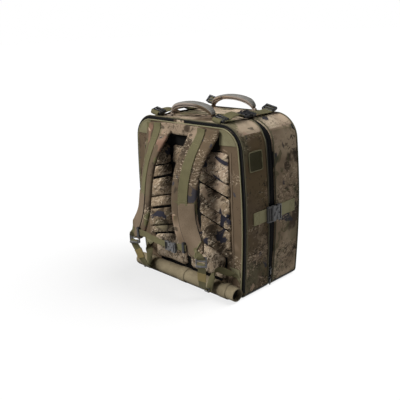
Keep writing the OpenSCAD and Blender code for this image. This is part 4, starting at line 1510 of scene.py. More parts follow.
@dataclass(frozen=True)
class BackPanel:
    """The door at the back: its cover, binding, plain upper corners and pads with channels between them."""

    cover_inset: float = 10.7
    corner_x: float = 150.0
    corner_z: float = 470.0
    corner_t: float = 1.4
    # Near-black sheets of painted shade: one under the yoke, one behind the pads down to the roll
    shade_backings: tuple[tuple[Corners, float], ...] = (
        (oblong(-152, 152, 452, 505), 1.2), (((-164, 34), (164, 34), (186, 455), (-186, 455)), 0.8))
    middle_rows: int = 4
    outer_rows: int = 3
    channel: float = 12.0
    slope: float = 0.28
    pad_half: float = 50.0
    pad_end: float = 188.0
    pad_top: float = 450.0
    fill_rise: float = 4.0
    band: float = 43.0
    band_rise: float = 9.0
    lean: float = 0.4
    lumbar_top: float = 169.8
    lumbar_end: float = 164.0
    lumbar_foot: float = 48.0
    lumbar_puff: float = 8.0
    edge_tape: float = 5.0
    edge_foot: float = 84.0

    def build(self) -> None:
        """Makes the panel's pieces from the back plane outwards."""
        low, high = box_mm("back_panel_cover")
        cover = edge_panel("back_cover", self.cover_inset, high.y, low.y, low.z)
        settle(cover, Body.PANEL, PANEL_CAMO, "back_panel_cover", fill=0.3)
        bind_door("back_cover_binding", Body.PANEL, self.cover_inset, low.z, low.y + 0.6)
        for side in Side:
            self.corner(side, low.y)
        # The dark backing is painted shade in the channels, under the yoke and between the lumbar pads and
        # the roll
        shade_sheets = [Cushion(corners, low.y, rise, 0.0).build("back") for corners, rise in self.shade_backings]
        settle(joined("pad_backing", shade_sheets), Body.PANEL, SHADE_BACKING)
        self.pads()
        dress_node("back_frame_sheet", BOARD)

    def corner(self, side: Side, face: float) -> None:
        """Makes the plain cloth over an upper corner of the panel.

        Args:
            side: Side of the corner.
            face: Depth of the panel's face.
        """
        y = face - 0.9
        edge = [e for e in OUTLINE.band(self.cover_inset + 3.5)
                if e.z >= self.corner_z and e.x * side.value >= self.corner_x]
        root = Vector((self.corner_x * side.value, y, self.corner_z))
        shares = (0.0, 0.25, 0.5, 0.75, 0.97, 1.0)
        rows = [[root.lerp(e.at(y, 0.0), share) for e in edge] for share in shares]
        piece = cloth_sheet(f"corner_cloth_{side.label}", rows, Vector((0, 0, 300)), self.corner_t)
        settle(piece, Body.PANEL, OLIVE_CLOTH)

    def outer_pads(self) -> list[Corners]:
        """Gives the corners of the right pads, which slope down outwards.

        Returns:
            The pads from the top down.
        """
        inner, outer = self.pad_half + self.channel, self.pad_end
        column = self.pad_top - self.lumbar_top - self.slope * self.pad_half
        height = (column - (self.outer_rows - 1) * self.band) / self.outer_rows
        fall = self.slope * (outer - inner)
        pads = []
        for k in range(self.outer_rows):
            upper = self.pad_top - k * (height + self.band)
            lower, slant = upper - height, upper - (fall if k else 0)
            pads.append(((inner, lower), (outer, lower - fall), (outer, slant), (inner, upper)))
        return pads

    def pads(self) -> None:
        """Makes and fills the four groups of pads."""
        low, high = box_mm("back_pads_right")
        base, rise = high.y, high.y - low.y - self.fill_rise
        right = self.outer_pads()
        row = (self.pad_top - self.lumbar_top) / self.middle_rows
        middle = [oblong(-self.pad_half, self.pad_half, self.pad_top - (k + 1) * row + self.channel,
                         self.pad_top - k * row) for k in range(self.middle_rows)]
        gap, end, foot = self.channel / 2, self.lumbar_end, self.lumbar_foot
        slant = self.lumbar_top - self.slope * (end - gap)
        lumbar = ((gap, foot), (end, foot), (end, slant), (gap, self.lumbar_top))
        self.bands(right, base)
        plain = Cushion((), base, rise, lean=self.lean)
        puffy = Cushion((), base, rise + self.lumbar_puff, 0.06, domed=True)
        groups = (("back_pads_right", right, plain, PAD_MESH),
                  ("back_pads_left", [mirrored(c) for c in right], plain, PAD_MESH),
                  ("back_pads_middle", middle, plain, PAD_MESH),
                  ("lumbar_pads", [lumbar, mirrored(lumbar)], puffy, LIT_LUMBAR_MESH))
        for node, pads, model, finish in groups:
            made = [replace(model, corners=c).build("pad") for c in pads]
            piece = joined(f"{node}_cushions", made)
            plump(piece, 4.5, 7.0, lambda p: p.y > base - 2.5)
            settle(piece, Body.PANEL, finish, node, fill=0.7, crease=80)

    def bands(self, right: list[Corners], base: float) -> None:
        """Makes the lower pads between the outer pads, and the tape along the pads' outer edge.

        Args:
            right: Corners of the right pads from the top down.
            base: Depth of the panel's face.
        """
        bands = []
        for a, b in zip(right, right[1:]):
            foot = [(x, z + 7) for x, z in (b[3], b[2])]
            head = [(x, z - 2) for x, z in (a[1], a[0])]
            bands.append((*foot, *head))
        (x, z), (end, fall) = right[-1][0], right[-1][1]
        bands.append(((x - 58, z - 10), (end, fall - 25), (end, fall - 2), (x - 58, z + 14)))
        bands += [mirrored(c) for c in bands]
        made = [Cushion(c, base, self.band_rise, 0.0, self.lean).build("band") for c in bands]
        settle(joined("back_pad_bands", made), Body.PANEL, PAD_MESH, fill=0.4)
        x, y, top = right[0][1][0] + 5, base - 0.4, right[0][2][1] + 3
        line = straight(Vector((x, y, top)), Vector((x, y, self.edge_foot)), self.edge_tape, 24)
        flat = tape("pad_edge_tape_right", line, 1.8)
        for piece in (flat, copy_at(flat, "pad_edge_tape_left", MIRROR)):
            settle(piece, Body.PANEL, OVERLAY_CLOTH)


# Harness


@dataclass(frozen=True)
class Harness:
    """Yoke, padded straps, their webbing and panels, ladder locks and lower webbing."""

    back: float = -56.0
    top: float = 530.0
    strap_x: float = 98.0
    thick: float = 18.0
    seat: float = 1.4
    facing_w: float = 32.0
    panel_w: float = 54.0
    panel_shift: float = 11.0
    panel_rows: int = 30
    thin: float = 25.0
    lock_turn: float = 33.0
    lit_yoke_x: float = 84.0
    lit_yoke_z: float = 486.0
    steps: int = 8

    @cached_property
    def line(self) -> list[Station]:
        """Stations of the right strap from its root to its end."""
        across_off_drop_width_turn = (
            (0, 15.5, 14, 128, 0), (-1, 18.1, 32, 120, 0), (-5, 34, 60, 104, 6), (-9, 55, 90, 92, 14),
            (-12, 76, 130, 86, 20), (-12, 92, 180, 84, 20), (-10, 100, 230, 84, 20), (-3, 104, 280, 84, 20),
            (12, 106, 318, 84, 18), (32, 106, 350, 76, 12), (50, 105, 375, 44, 6))
        return stations([(self.strap_x + across, self.back - off, self.top - drop, width, turn)
                         for across, off, drop, width, turn in across_off_drop_width_turn], self.steps)

    @property
    def facing_line(self) -> list[Station]:
        """Stations of the strap's upper part, which carries the webbing."""
        return self.line[:6 * self.steps + 1]

    @property
    def lock_at(self) -> Vector:
        """Middle of the right ladder lock, which hangs upright from its tab."""
        low, high = box_mm("ladder_lock_right")
        return (low + high) / 2 + Vector((-1, -1, -3))

    def build(self) -> None:
        """Makes the harness, the right side first and then its twin."""
        self.pad()
        alike = (("strap_facing", self.facing(), OLIVE_WEBBING),
                 ("strap_panel", self.panel(), OVERLAY_CLOTH),
                 ("panel_binding", self.binding(), THREAD), ("panel_edge_shadows", self.panel_edge_shadows(), DARK_LINING_AND_SHADE))
        for label, right, finish in alike:
            self.pair(label, right, copy_at(right, "twin", MIRROR), finish)
        hanging = (("lock_tab", self.lock_tab, OLIVE_WEBBING),
                   ("lower_webbing", self.lower_webbing, OLIVE_WEBBING),
                   ("webbing_band", self.band, BAND_WEBBING), ("webbing_ring", self.ring, BUCKLE))
        for label, make, finish in hanging:
            other = make(Side.LEFT)
            left = copy_at(other, "twin", MIRROR)
            bpy.data.objects.remove(other)
            self.pair(label, make(Side.RIGHT), left, finish)
        self.ladder_locks()
        soften("corner_tabs", "corner_tab_cloth", Body.PANEL, OLIVE_CLOTH, 0.9)
        stitch_rows("harness_stitches", self.facing_seams(), Body.PANEL)

    def pair(self, label: str, right: Piece, left: Piece, finish: Finish) -> None:
        """Names a right and a left piece and puts them on the panel.

        Args:
            label: Name without the side.
            right: The right piece.
            left: The left piece.
            finish: Finish of both.
        """
        for side, piece in ((Side.RIGHT, right), (Side.LEFT, left)):
            piece.name = piece.data.name = f"{label}_strip_{side.label}"
            nodes = [f"{label}_{side.label}"] if label in ("strap_facing", "lower_webbing") else []
            settle(piece, Body.PANEL, finish, *nodes)

    def pad(self) -> None:
        """Makes both straps and the yoke as one padded piece."""
        right = strip("harness_right", self.line, lambda s: padded_section(s.width, self.thick))
        left = copy_at(right, "harness_left", MIRROR)
        low, high = box_mm("shoulder_yoke")
        half = self.strap_x - self.line[0].width / 2 + 8
        yoke = Cushion(oblong(-half, half, low.z, high.z - 1), high.y, high.y - low.y + 2, 0.0)
        piece = joined("harness_pad", [right, left, yoke.build("harness_yoke")])
        remeshed(piece, 3.6)
        modify(piece, "SMOOTH", factor=0.5, iterations=4)
        moves = [v.normal * (0.5 * MM * noise.noise(v.co / (30 * MM))) for v in piece.data.vertices]
        for vertex, move in zip(piece.data.vertices, moves):
            vertex.co += move
        # Faces of the yoke take the lighter copy of the print: painted light
        for face in piece.data.polygons:
            in_lit_yoke = abs(face.center.x) < self.lit_yoke_x * MM and face.center.z > self.lit_yoke_z * MM
            face.material_index = int(in_lit_yoke)
        settle(piece, Body.PANEL, (HARNESS_CAMO, LIT_YOKE_CAMO), "shoulder_yoke", "shoulder_strap_left",
               "shoulder_strap_right", fill=0.6, crease=80)

    def facing(self) -> Piece:
        """Makes the webbing on the upper half of a strap's face."""
        return tape("facing", self.facing_line, width=self.facing_w, lift=self.thick / 2 + self.seat)

    def facing_seams(self) -> list[StitchRow]:
        """Gives the stitches along the webbing and its bar tacks.

        Returns:
            Rows on both straps.
        """
        rows = []
        run, lift, tack = self.facing_line, self.thick / 2 + 2.5, 13
        for across in (3 - self.facing_w / 2, self.facing_w / 2 - 3):
            edge = [s.point(across, lift) for s in run[::2]]
            rows += [([a, b], s.up) for a, b, s in zip(edge, edge[1:], run[::2])]
        rows += [([run[k].point(-tack, lift), run[k].point(tack, lift)], run[k].up) for k in (14, 17, 46)]
        flip = Vector((-1, 1, 1))
        return rows + [([p * flip for p in row], up * flip) for row, up in rows]

    def panel_point(self, side: float, share: float, lift: float) -> Vector:
        """Gives a point of the plain panel on the lower half of a strap.

        Args:
            side: Place across the panel, from -1 to 1.
            share: Place along the panel, from 0 to 1.
            lift: Height above the strap's face.

        Returns:
            The point.
        """
        first, last, slant = 6 * self.steps - 1, 9.45 * self.steps, 4.5
        s = between(self.line, first + (last - slant * side - first) * share)
        half = min(self.panel_w / 2, s.width / 2 - 8)
        x = side * half + min(self.panel_shift, s.width / 2 - half - 3)
        level = (1 - min(abs(x) / (s.width / 2), 1.0) ** 3) ** (1 / 3)
        return s.point(x, self.thick / 2 * level + lift)

    @property
    def panel_shares(self) -> list[float]:
        """Places along the plain panel, from 0 to 1."""
        return [k / self.panel_rows for k in range(self.panel_rows + 1)]

    def panel(self) -> Piece:
        """Makes the plain cloth panel over the lower half of a strap.

        Returns:
            The panel.
        """
        rows = [[self.panel_point(k / 6 - 1, share, 0.9) for k in range(13)] for share in self.panel_shares]
        piece = cloth_sheet("panel", rows, Vector((100, 200, 200)), 2.2, 0.4)
        rounded(piece, 0.7, 2)
        return piece

    def binding(self) -> Piece:
        """Makes the pale binding along the panel's slanting end."""
        return thin_cord("binding", [self.panel_point(k / 8, 1.0, 1.9) for k in range(-8, 9)], 3.6, 2.4, 90)

    def panel_edge_shadows(self) -> Piece:
        """Makes dark cords along the panel's two sides: painted shadow lines under its edges."""
        lines = [[self.panel_point(side, share, 0.8) for share in self.panel_shares] for side in (-1, 1)]
        return joined("edges", [thin_cord("edge", line, 2.6, 2.6, 0) for line in lines])

    def lock_tab(self, side: Side) -> Piece:
        """Makes the short webbing that carries the ladder lock, before a left one is mirrored.

        Args:
            side: Side that it is for.

        Returns:
            The webbing.
        """
        lift = self.thick / 2 + self.seat
        roots = ((9.1, 2), (9.6, 1))
        points = [between(self.line, at * self.steps).point(across, lift) for at, across in roots]
        points += [self.lock_at + Vector(p) for p in ((-3, -7, 20), (0, -4, 13), (1, 0, 8), (1, 2, 1))]
        turns = (0, 10, 25, 32, 32, 32)
        return tape("tab", stations([(*p, self.thin, t * side.value) for p, t in zip(points, turns)], 4))

    def ladder_locks(self) -> None:
        """Makes the two ladder locks: a frame with two slots and a round lower bar, facing outwards."""
        lock = block("lock", (35, 5, 32), (0, 0, 0))
        for z in (8.0, -2.5):
            cut(lock, (self.thin + 1.5, 40, 6.0), (0, 0, z))
        rounded(lock, 1.3, 3)
        bar = block("bar", (36, 9, 8.5), (0, -1.2, -13))
        rounded(bar, 3.2, 4)
        model = joined("lock", [lock, bar])
        for side in Side:
            node = f"ladder_lock_{side.label}"
            place = moved(*(self.lock_at * Vector((side.value, 1, 1)))) @ turned(self.lock_turn, "Z")
            settle(copy_at(model, f"{node}_frame", place), Body.PANEL, BUCKLE, node)
        bpy.data.objects.remove(model)

    def lower_line(self, side: Side) -> list[Station]:
        """Gives the stations of a lower webbing: a loop down to its corner tab.

        Args:
            side: Its side; a left one is mirrored later.

        Returns:
            Stations from the ladder lock to the tab.
        """
        loop = Vector((141, self.back - 74, 26))
        hold = Vector((194, self.back - 6.1 - 2.4 - 0.2 - WEB_T, 87.8))
        stretches = ((self.lock_at, ((0, 0, -4), (1, -4, -10), (0, 1, -26), (-7, 6, -44))),
                     (loop, ((3, -21, 46), (-5, -13, 22), (-8, -6, 10), (-2, 2, 4), (3, 8, 10), (5, 14, 28),
                             (11, 22, 52), (25, 32, 67))),
                     (hold, ((-10, -20, 1), (3, -9, -7), (7, -2.5, -12), (9, 0, -18))))
        points = [start + Vector(p) for start, offsets in stretches for p in offsets]
        turns = (32, 32, 30, 26, 20, 10, 4, 0, 0, 0, 0, 0, 0, 0, 0, 0)
        tips = (0, 0, 0, 0, 0, 0, 0, 0, 0, 10, 35, 65, 70, 45, 15, 0)
        rows = [(*p, self.thin, turn * side.value, tip) for p, turn, tip in zip(points, turns, tips)]
        return stations(rows, self.steps)

    def lower_webbing(self, side: Side) -> Piece:
        """Makes the lower webbing."""
        return tape("lower", self.lower_line(side))

    def band(self, side: Side) -> Piece:
        """Makes the elastic band round the lower webbing."""
        return tape("band", self.lower_line(side)[22:34], WEB_T + 2.2, self.thin + 2.4)

    def ring(self, side: Side) -> Piece:
        """Makes the small ring that hangs on the webbing's loop.

        Args:
            side: Its side; a left one is mirrored later.

        Returns:
            The ring.
        """
        place = self.lower_line(side)[7 * self.steps].point(8, -4.5)
        piece = added("ring", bpy.ops.mesh.primitive_torus_add, major_radius=7 * MM, minor_radius=1.5 * MM,
                      major_segments=32, minor_segments=10, location=place * MM, rotation=(0.5, 0.3, 0.0))
        with editing(piece):
            bpy.ops.transform.resize(value=(1.0, 1.0, 0.75))
        return piece


# Buckles and bridging straps


@dataclass(frozen=True)
class ReleaseBuckle:
    """Side release buckle along +Y with its mouth at the origin: a plug and a socket with a crossed face."""

    web: float
    edge: float = 4.0
    thick: float = 9.0
    plug_l: float = 20.0
    prong_l: float = 28.0
    socket_l: float = 41.0
    slot: float = 5.0
    bar: float = 3.5
    wall: float = 2.2
    play: float = 0.4
    through: float = 40.0

    @property
    def half(self) -> float:
        """Half width of the buckle."""
        return self.web / 2 + self.edge

    def plug(self) -> Piece:
        """Makes the plug: a frame with two slots, and three prongs.

        Returns:
            The plug.
        """
        middle = self.thick / 2
        size = (2 * self.half, self.plug_l - self.play, self.thick - 2)
        base = block("plug", size, (0, -self.plug_l / 2, middle - 1))
        for k in range(2):
            y = -self.plug_l + self.bar + self.slot / 2 + k * (self.slot + self.bar)
            cut(base, (self.web + 2, self.slot, self.through), (0, y, 0))
        cut(base, (self.web + 2, self.plug_l - 5, 4), (0, -self.plug_l / 2 - 2, self.thick - 1.6))
        rounded(base, 1.3, 3, 40)
        reach = self.prong_l + self.bar
        arm_t = self.thick - 2 * (self.wall + 0.6)
        arm_x, arm_y = self.half - self.wall - 3.6, reach / 2 - self.bar
        prongs = [block("arm", (6, reach, arm_t), (side * arm_x, arm_y, middle)) for side in (-1, 1)]
        prongs.append(block("guide", (12, reach - 6, arm_t), (0, reach / 2 - 3 - self.bar, middle)))
        for prong, edge in zip(prongs, (1.6, 1.6, 1.4)):
            rounded(prong, edge, 3)
        return joined("plug", [base, *prongs])

    def socket(self) -> Piece:
        """Makes the socket: a hollow body with side windows, a crossed face and a webbing bar.

        Returns:
            The socket.
        """
        size = (2 * self.half, self.socket_l - self.play, self.thick)
        body = block("socket", size, (0, self.socket_l / 2, self.thick / 2))
        cavity, hollow = self.prong_l + 2, self.thick - 2 * self.wall
        cut(body, (2 * (self.half - self.wall), 2 * cavity, hollow), (0, 0, self.thick / 2))
        for side in (-1, 1):
            cut(body, (2 * (self.wall + 1), 14, hollow), (side * self.half, cavity - 11, self.thick / 2))
            cut(body, (11, 17, self.through), (side * (self.half + 2.6), cavity - 11, 0), corners=28)
        cut(body, (self.web + 2, self.slot, self.through), (0, self.socket_l - self.bar - self.slot / 2, 0))
        middle = (self.socket_l - self.bar - self.slot) / 2
        pocket, deep = self.half * 0.62, 3.6
        wide = pocket * 1.25
        for side in (-1, 1):
            cut(body, (wide, wide, deep), (side * self.half * 0.62, middle, self.thick), 90 + 90 * side, 3)
            cut(body, (pocket, pocket, deep), (0, middle + side * middle * 0.62, self.thick), 90 * side, 3)
        rounded(body, 0.8, 2, 40)
        return body


@dataclass(frozen=True)
class BridgeStraps:
    """Webbing, buckles and adjusters that tie the two bags together over the gap."""

    side_w: float = 40.0
    top_w: float = 30.0
    gap: float = 0.2
    side_mouth: float = 53.0
    top_mouth: float = 54.0
    lift: float = 8.0
    roll: float = 12.0
    sewn_half: float = 16.0
    strip_t: float = 1.8

    def build(self) -> None:
        """Makes the straps on both sides and over the top."""
        for node, body in (("rear_bridge_straps", Body.REAR), ("front_bridge_straps", Body.FRONT)):
            self.side_webbing(node, body)
            self.top_webbing(node, body)
        self.buckles()
        self.adjusters()

    @property
    def top_x(self) -> float:
        """Distance of the top straps from the middle."""
        return box_mm("rear_top_adjusters")[1].x - self.top_w / 2 - 6.0

    def side_webbing(self, node: str, body: Body) -> None:
        """Makes one bag's share of the two side straps, with their sewn boxes.

        Args:
            node: CAD node that they stand for.
            body: The bag's body.
        """
        high = box_mm(node)[1]
        label = node.split("_")[0]
        rear = body is Body.REAR
        ends = (-24.0, self.side_mouth - 4) if rear else (self.side_mouth + 34, high.y - 20)
        sewn = (ends[0] + 3, ends[0] + 25) if rear else (ends[1] - 25, ends[1] - 3)
        rows = []
        for side in Side:
            x = (high.x - WEB_T / 2) * side.value
            line = straight(*[Vector((x, y, SIDE_STRAP_Z)) for y in ends], self.side_w)
            line = facing_way(line, (0, 0, -side.value), (side.value, 0, 0))
            settle(tape(f"{label}_side_strap_{side.label}", line), body, LIT_SIDE_WEBBING, node)
            skin = x + side.value * WEB_T / 2
            box = oblong(*sewn, SIDE_STRAP_Z - self.sewn_half, SIDE_STRAP_Z + self.sewn_half)
            corners = [Vector((skin, y, z)) for y, z in box]
            seams = (corners + corners[:1], corners[::2], corners[1::2])
            rows += [(seam, Vector((side.value, 0, 0))) for seam in seams]
        stitch_rows(f"{label}_strap_stitches", rows, body)

    def top_webbing(self, node: str, body: Body) -> None:
        """Makes one bag's share of the two top straps, slack between their adjuster and their buckle.

        Args:
            node: CAD node that they stand for.
            body: The bag's body.
        """
        end = self.lift + 4
        if body is Body.REAR:
            arch = ((-44, 10), (-28, 11), (-8, 19), (16, 21), (36, 15), (44, end))
        else:
            arch = ((80, end), (92, 12), (120, 9), (150, 8), (174, 10), (186, 11))
        tilt = turned(self.roll, "Y").to_3x3()
        for side, slack in ((Side.RIGHT, 1.0), (Side.LEFT, 0.6)):
            route = [(self.top_x * side.value, y, OUTLINE.height + 3 + (up - 3) * slack, self.top_w + 4, 0.0)
                     for y, up in arch]
            line = [replace(s, across=tilt @ s.across, up=tilt @ s.up) for s in stations(route, 5)]
            settle(tape(f"{node.split('_')[0]}_top_strap_{side.label}", line), body, OLIVE_WEBBING, node)

    def buckles(self) -> None:
        """Models each buckle once, and copies it to its places."""
        side_x = box_mm("rear_bridge_straps")[1].x - WEB_T
        side_place = moved(side_x, self.side_mouth, SIDE_STRAP_Z) @ turned(90, "Y")
        side_place = side_place @ moved(0, 0, WEB_T + self.gap)
        top_place = moved(self.top_x, self.top_mouth, OUTLINE.height + self.lift) @ turned(self.roll, "Y")
        side_buckle = ReleaseBuckle(self.side_w, 4.5, 10.0)
        top_buckle = ReleaseBuckle(self.top_w, plug_l=17, socket_l=34, prong_l=20)
        for label, buckle, place, finish in (("side", side_buckle, side_place, BUCKLE),
                                             ("top", top_buckle, top_place, BLACK_PLASTIC)):
            models = (("plug", buckle.plug(), "rear_plugs", Body.REAR),
                      ("socket", buckle.socket(), "front_sockets", Body.FRONT))
            for side, matrix in ((Side.RIGHT, place), (Side.LEFT, MIRROR @ place)):
                for kind, model, node, body in models:
                    settle(copy_at(model, f"{label}_{kind}_{side.label}", matrix), body, finish, node)
            for _, model, _, _ in models:
                bpy.data.objects.remove(model)

    def adjusters(self) -> None:
        """Makes the black adjuster at each end of the top straps, with the webbing that runs through it."""
        plate = block("adjuster", (44, 27, 9), (0, 0, 0))
        for y in (-5.5, 5.5):
            cut(plate, (self.top_w + 3, 6.5, 40), (0, y, 0))
        rounded(plate, 2.2, 3)
        turns = [radians(-50 + 320 * k / 24) for k in range(25)]
        roll_route = [(0, -13 - 6.5 * cos(a), 6.5 * sin(a) - 2, self.top_w + 3, 0) for a in turns]
        roll = tape("roll", stations(roll_route), self.strip_t)
        weave_at = ((-15, -3), (-6, -2), (0, -1.5), (6, -2), (15, -3))
        weave = tape("weave", stations([(0, y, z, self.top_w, 0) for y, z in weave_at], 4), self.strip_t)
        top, x = OUTLINE.height, self.top_x
        places = (("rear", Body.REAR, Side.RIGHT, (x - 9, -38, top + 12), 12.0),
                  ("rear", Body.REAR, Side.LEFT, (4 - x, -36, top + 15), 14.0),
                  ("front", Body.FRONT, Side.RIGHT, (x - 5, 181, top + 14), 24.0),
                  ("front", Body.FRONT, Side.LEFT, (33 - x, 184, top + 25), 48.0))
        for label, body, side, middle, tilt in places:
            way, turn = (1, 0) if body is Body.REAR else (-1, 180)
            place = moved(*middle) @ turned(turn, "Z")
            place = place @ turned(way * self.roll, "Y") @ turned(way * tilt, "X")
            node = f"{label}_top_adjusters"
            settle(copy_at(plate, f"{node}_frame_{side.label}", place), body, BLACK_PLASTIC, node)
            strips = (weave, roll) if body is Body.REAR else (weave,)
            copies = [copy_at(model, "copy", place) for model in strips]
            settle(joined(f"{node}_webbing_{side.label}", copies), body, OLIVE_WEBBING)
        for model in (plate, roll, weave):
            bpy.data.objects.remove(model)


@dataclass(frozen=True)
class ChestStrap:
    """Chest strap: webbing through a loop on each shoulder strap, joined by a small buckle."""

    web: float = 21.0
    mouth: float = 46.0
    gap: float = 0.2
    reach: float = 106.0
    sag: float = 9.0
    travel: float = 34.0

    def drop(self, x: float) -> float:
        """How far the slack strap hangs at a place along X. What slides in the left loop is straight."""
        share = (x + self.reach - self.travel) / (2 * self.reach - self.travel)
        return self.sag * sin(pi * min(max(share, 0.0), 1.0))

    def build(self) -> None:
        """Makes the loops, the two webbings, the plug and the socket."""
        soften("chest_loops", "chest_loop_frames", Body.PANEL, BLACK_PLASTIC, 1.0, 3)
        for node, body in (("chest_strap_right", Body.PANEL), ("chest_strap_left", Body.CHEST_END)):
            low, high = box_mm(node)
            middle = (low + high) / 2
            first, last = (low.x, self.mouth - 8) if body is Body.CHEST_END else (self.mouth + 24, high.x)
            places = [first + (last - first) * k / 16 for k in range(17)]
            line = stations([(x, middle.y, middle.z - self.drop(x), self.web, 0) for x in places])
            line = facing_way(line, (0, 0, 1), (0, -1, 0))
            settle(tape(f"{node}_webbing", line), body, OLIVE_WEBBING, node)
        low, high = box_mm("chest_strap_left")
        place = moved(0, high.y, (low.z + high.z) / 2 - self.drop(self.mouth)) @ turned(90, "X")
        place = place @ turned(-90, "Z") @ moved(0, self.mouth, WEB_T + self.gap)
        buckle = ReleaseBuckle(self.web, plug_l=16, prong_l=18, socket_l=30, slot=4, bar=3)
        models = ((buckle.plug(), "plug", Body.CHEST_END), (buckle.socket(), "socket", Body.PANEL))
        for model, kind, body in models:
            settle(copy_at(model, f"chest_buckle_{kind}", place), body, BUCKLE, f"chest_{kind}")
            bpy.data.objects.remove(model)


# Handles, roll and front


@dataclass(frozen=True)
class CarryHandle:
    """Padded carry handle: a webbing arch with a ribbed grip on top, turning on two sewn anchors."""

    label: str
    case_body: Body
    body: Body
    rise: float = 30.0
    grip_w: float = 30.0
    grip_t: float = 13.0
    pivot_r: float = 5.0

    def arch(self, first: float, last: float, count: int) -> list[Station]:
        """Gives stations over the handle's arch.

        Args:
            first: Angle of the first station in degrees.
            last: Angle of the last one.
            count: Number of stretches.

        Returns:
            The stations.
        """
        low, high = box_mm(f"{self.label}_handle_webbing")
        reach, y, foot = (high.x - low.x) / 2 - self.pivot_r, (low.y + high.y) / 2, low.z + self.pivot_r
        rows = []
        for k in range(count + 1):
            a = radians(first + (last - first) * k / count)
            width = 2 * self.pivot_r + (self.grip_w - 2 * self.pivot_r) * sqrt(sin(a))
            rows.append((reach * cos(a), y, foot + self.rise * sin(a), width, 90.0))
        return stations(rows)

    def grip_section(self, s: Station, length: float) -> Section:
        """Gives the grip's section, round in the middle and thin towards both ends.

        Args:
            s: Station of the section.
            length: Length of the grip.

        Returns:
            Points across and off the webbing.
        """
        full = min(1.0, 2.4 * sin(pi * s.run / length)) ** 0.6
        thick = self.grip_t * (0.3 + 0.7 * full)
        return [(x, y - thick / 2) for x, y in padded_section((s.width + 1.5) * (0.75 + 0.25 * full), thick)]

    def build(self) -> None:
        """Makes the webbing with its rolled ends, the grip and the anchors."""
        node, anchors = f"{self.label}_handle_webbing", f"{self.label}_handle_anchors"
        low, high = box_mm(node)
        y = (low.y + high.y) / 2
        parts = [tape("arch", self.arch(4, 176, 40), WEB_T + 0.6)]
        for side in Side:
            x = ((high.x - low.x) / 2 - self.pivot_r) * side.value
            place = Vector((x, y, low.z + self.pivot_r)) * MM
            roll = added("roll", bpy.ops.mesh.primitive_cylinder_add, vertices=32, radius=self.pivot_r * MM,
                         depth=2 * self.pivot_r * MM, location=place, rotation=(0, pi / 2, 0))
            rounded(roll, 1.2, 3)
            parts.append(roll)
        settle(joined(f"{self.label}_handle_strap", parts), self.body, CAMO_WEBBING, node)
        line, pad = self.arch(12, 168, 44), f"{self.label}_handle_pad"
        grip = strip(pad, line, lambda s: self.grip_section(s, line[-1].run), -WEB_T / 2 - 0.4)
        middle = Vector((0, y, low.z - 60)) * MM
        for face in grip.data.polygons:
            out = face.center - middle
            out.y = 0
            face.material_index = 0 if face.normal.dot(out.normalized()) > 0.3 else 1
        settle(grip, self.body, (GRIP, CAMO_WEBBING), f"{self.label}_handle_grip", fill=0.7, crease=70)
        soften(anchors, f"{anchors}_tabs", self.case_body, CAMO_WEBBING, 0.8)


@dataclass(frozen=True)
class LumbarRoll:
    """Lumbar roll: a cloth sleeve with open hems round a foam core, held by bands."""

    thick: float = 3.0
    hem: float = 14.0
    sag_end: float = 26.0
    keeper_w: float = 30.0
    seam_turn: float = 0.75
    columns: int = 90

    def build(self) -> None:
        """Makes the sleeve, its core, the bands and the seam."""
        low, high = box_mm("lumbar_roll_sleeve")
        radius, half = (high.z - low.z) / 2, high.x
        y, z = (low.y + high.y) / 2, (low.z + high.z) / 2
        turns = around(40)
        rings, maps = [], []
        for k in range(self.columns + 1):
            x = -half + 2 * half * k / self.columns
            end = half - abs(x)
            grow = -0.5 - 0.9 * exp(-abs(end - self.hem) / 2.0) + (0.4 if end < self.hem else 0.0)
            flat = 0.1 * max(0.0, 1 - end / self.sag_end)
            ring = []
            for a in turns:
                soft = noise.noise(Vector((x / 45, cos(a), sin(a)))) * 0.9
                r = radius + grow - abs(soft)
                up = r * sin(a) * (1 - flat) - radius * flat * 0.6
                ring.append(Vector((x, y + r * cos(a), z + up)))
            rings.append(ring)
            maps.append([(a * radius, x) for a in turns])
        sleeve = loft("lumbar_roll_cloth", rings, maps, capped=False)
        face_from(sleeve, Vector((0, y, z)))
        modify(sleeve, "SOLIDIFY", thickness=self.thick * MM, offset=-1.0)
        rounded(sleeve, 1.0, 2, 60)
        settle(sleeve, Body.PANEL, ROLL_CLOTH, "lumbar_roll_sleeve", fill=0.6, crease=60)
        soften("lumbar_roll_core", "lumbar_roll_foam", Body.PANEL, FOAM, 3.0, 3, 0.8)
        self.keepers(radius, y, z)
        across, up = cos(self.seam_turn), sin(self.seam_turn)
        ends = [Vector((x, y - radius * across, z - radius * up)) for x in (6 - half, half - 24)]
        line = facing_way(straight(*ends, 3.0, 40), (0, -up, across), (0, -across, -up))
        settle(tape("lumbar_roll_seam", line, 1.6), Body.PANEL, DARK_LINING_AND_SHADE)

    def keepers(self, radius: float, y: float, z: float) -> None:
        """Makes the bands round the roll.

        Args:
            radius: Radius of the roll.
            y: Depth of its middle.
            z: Height of its middle.
        """
        reach = box_mm("roll_keepers")[1].x - self.keeper_w / 2
        profile = ((-0.5, 0.1), (-0.5, 1.0), (-0.46, 1.5), (-0.3, 1.3), (0.3, 1.3), (0.46, 1.5), (0.5, 1.0),
                   (0.5, 0.1), (-0.5, 0.1))
        bands = []
        for middle in (-reach, 0.0, reach):
            rings = [[Vector((middle + w * self.keeper_w, y + (radius + up) * cos(a),
                              z + (radius + up) * sin(a))) for a in around(48)] for w, up in profile]
            bands.append(loft("band", rings, capped=False))
        settle(joined("roll_keeper_bands", bands), Body.PANEL, ROLL_CLOTH, "roll_keepers")


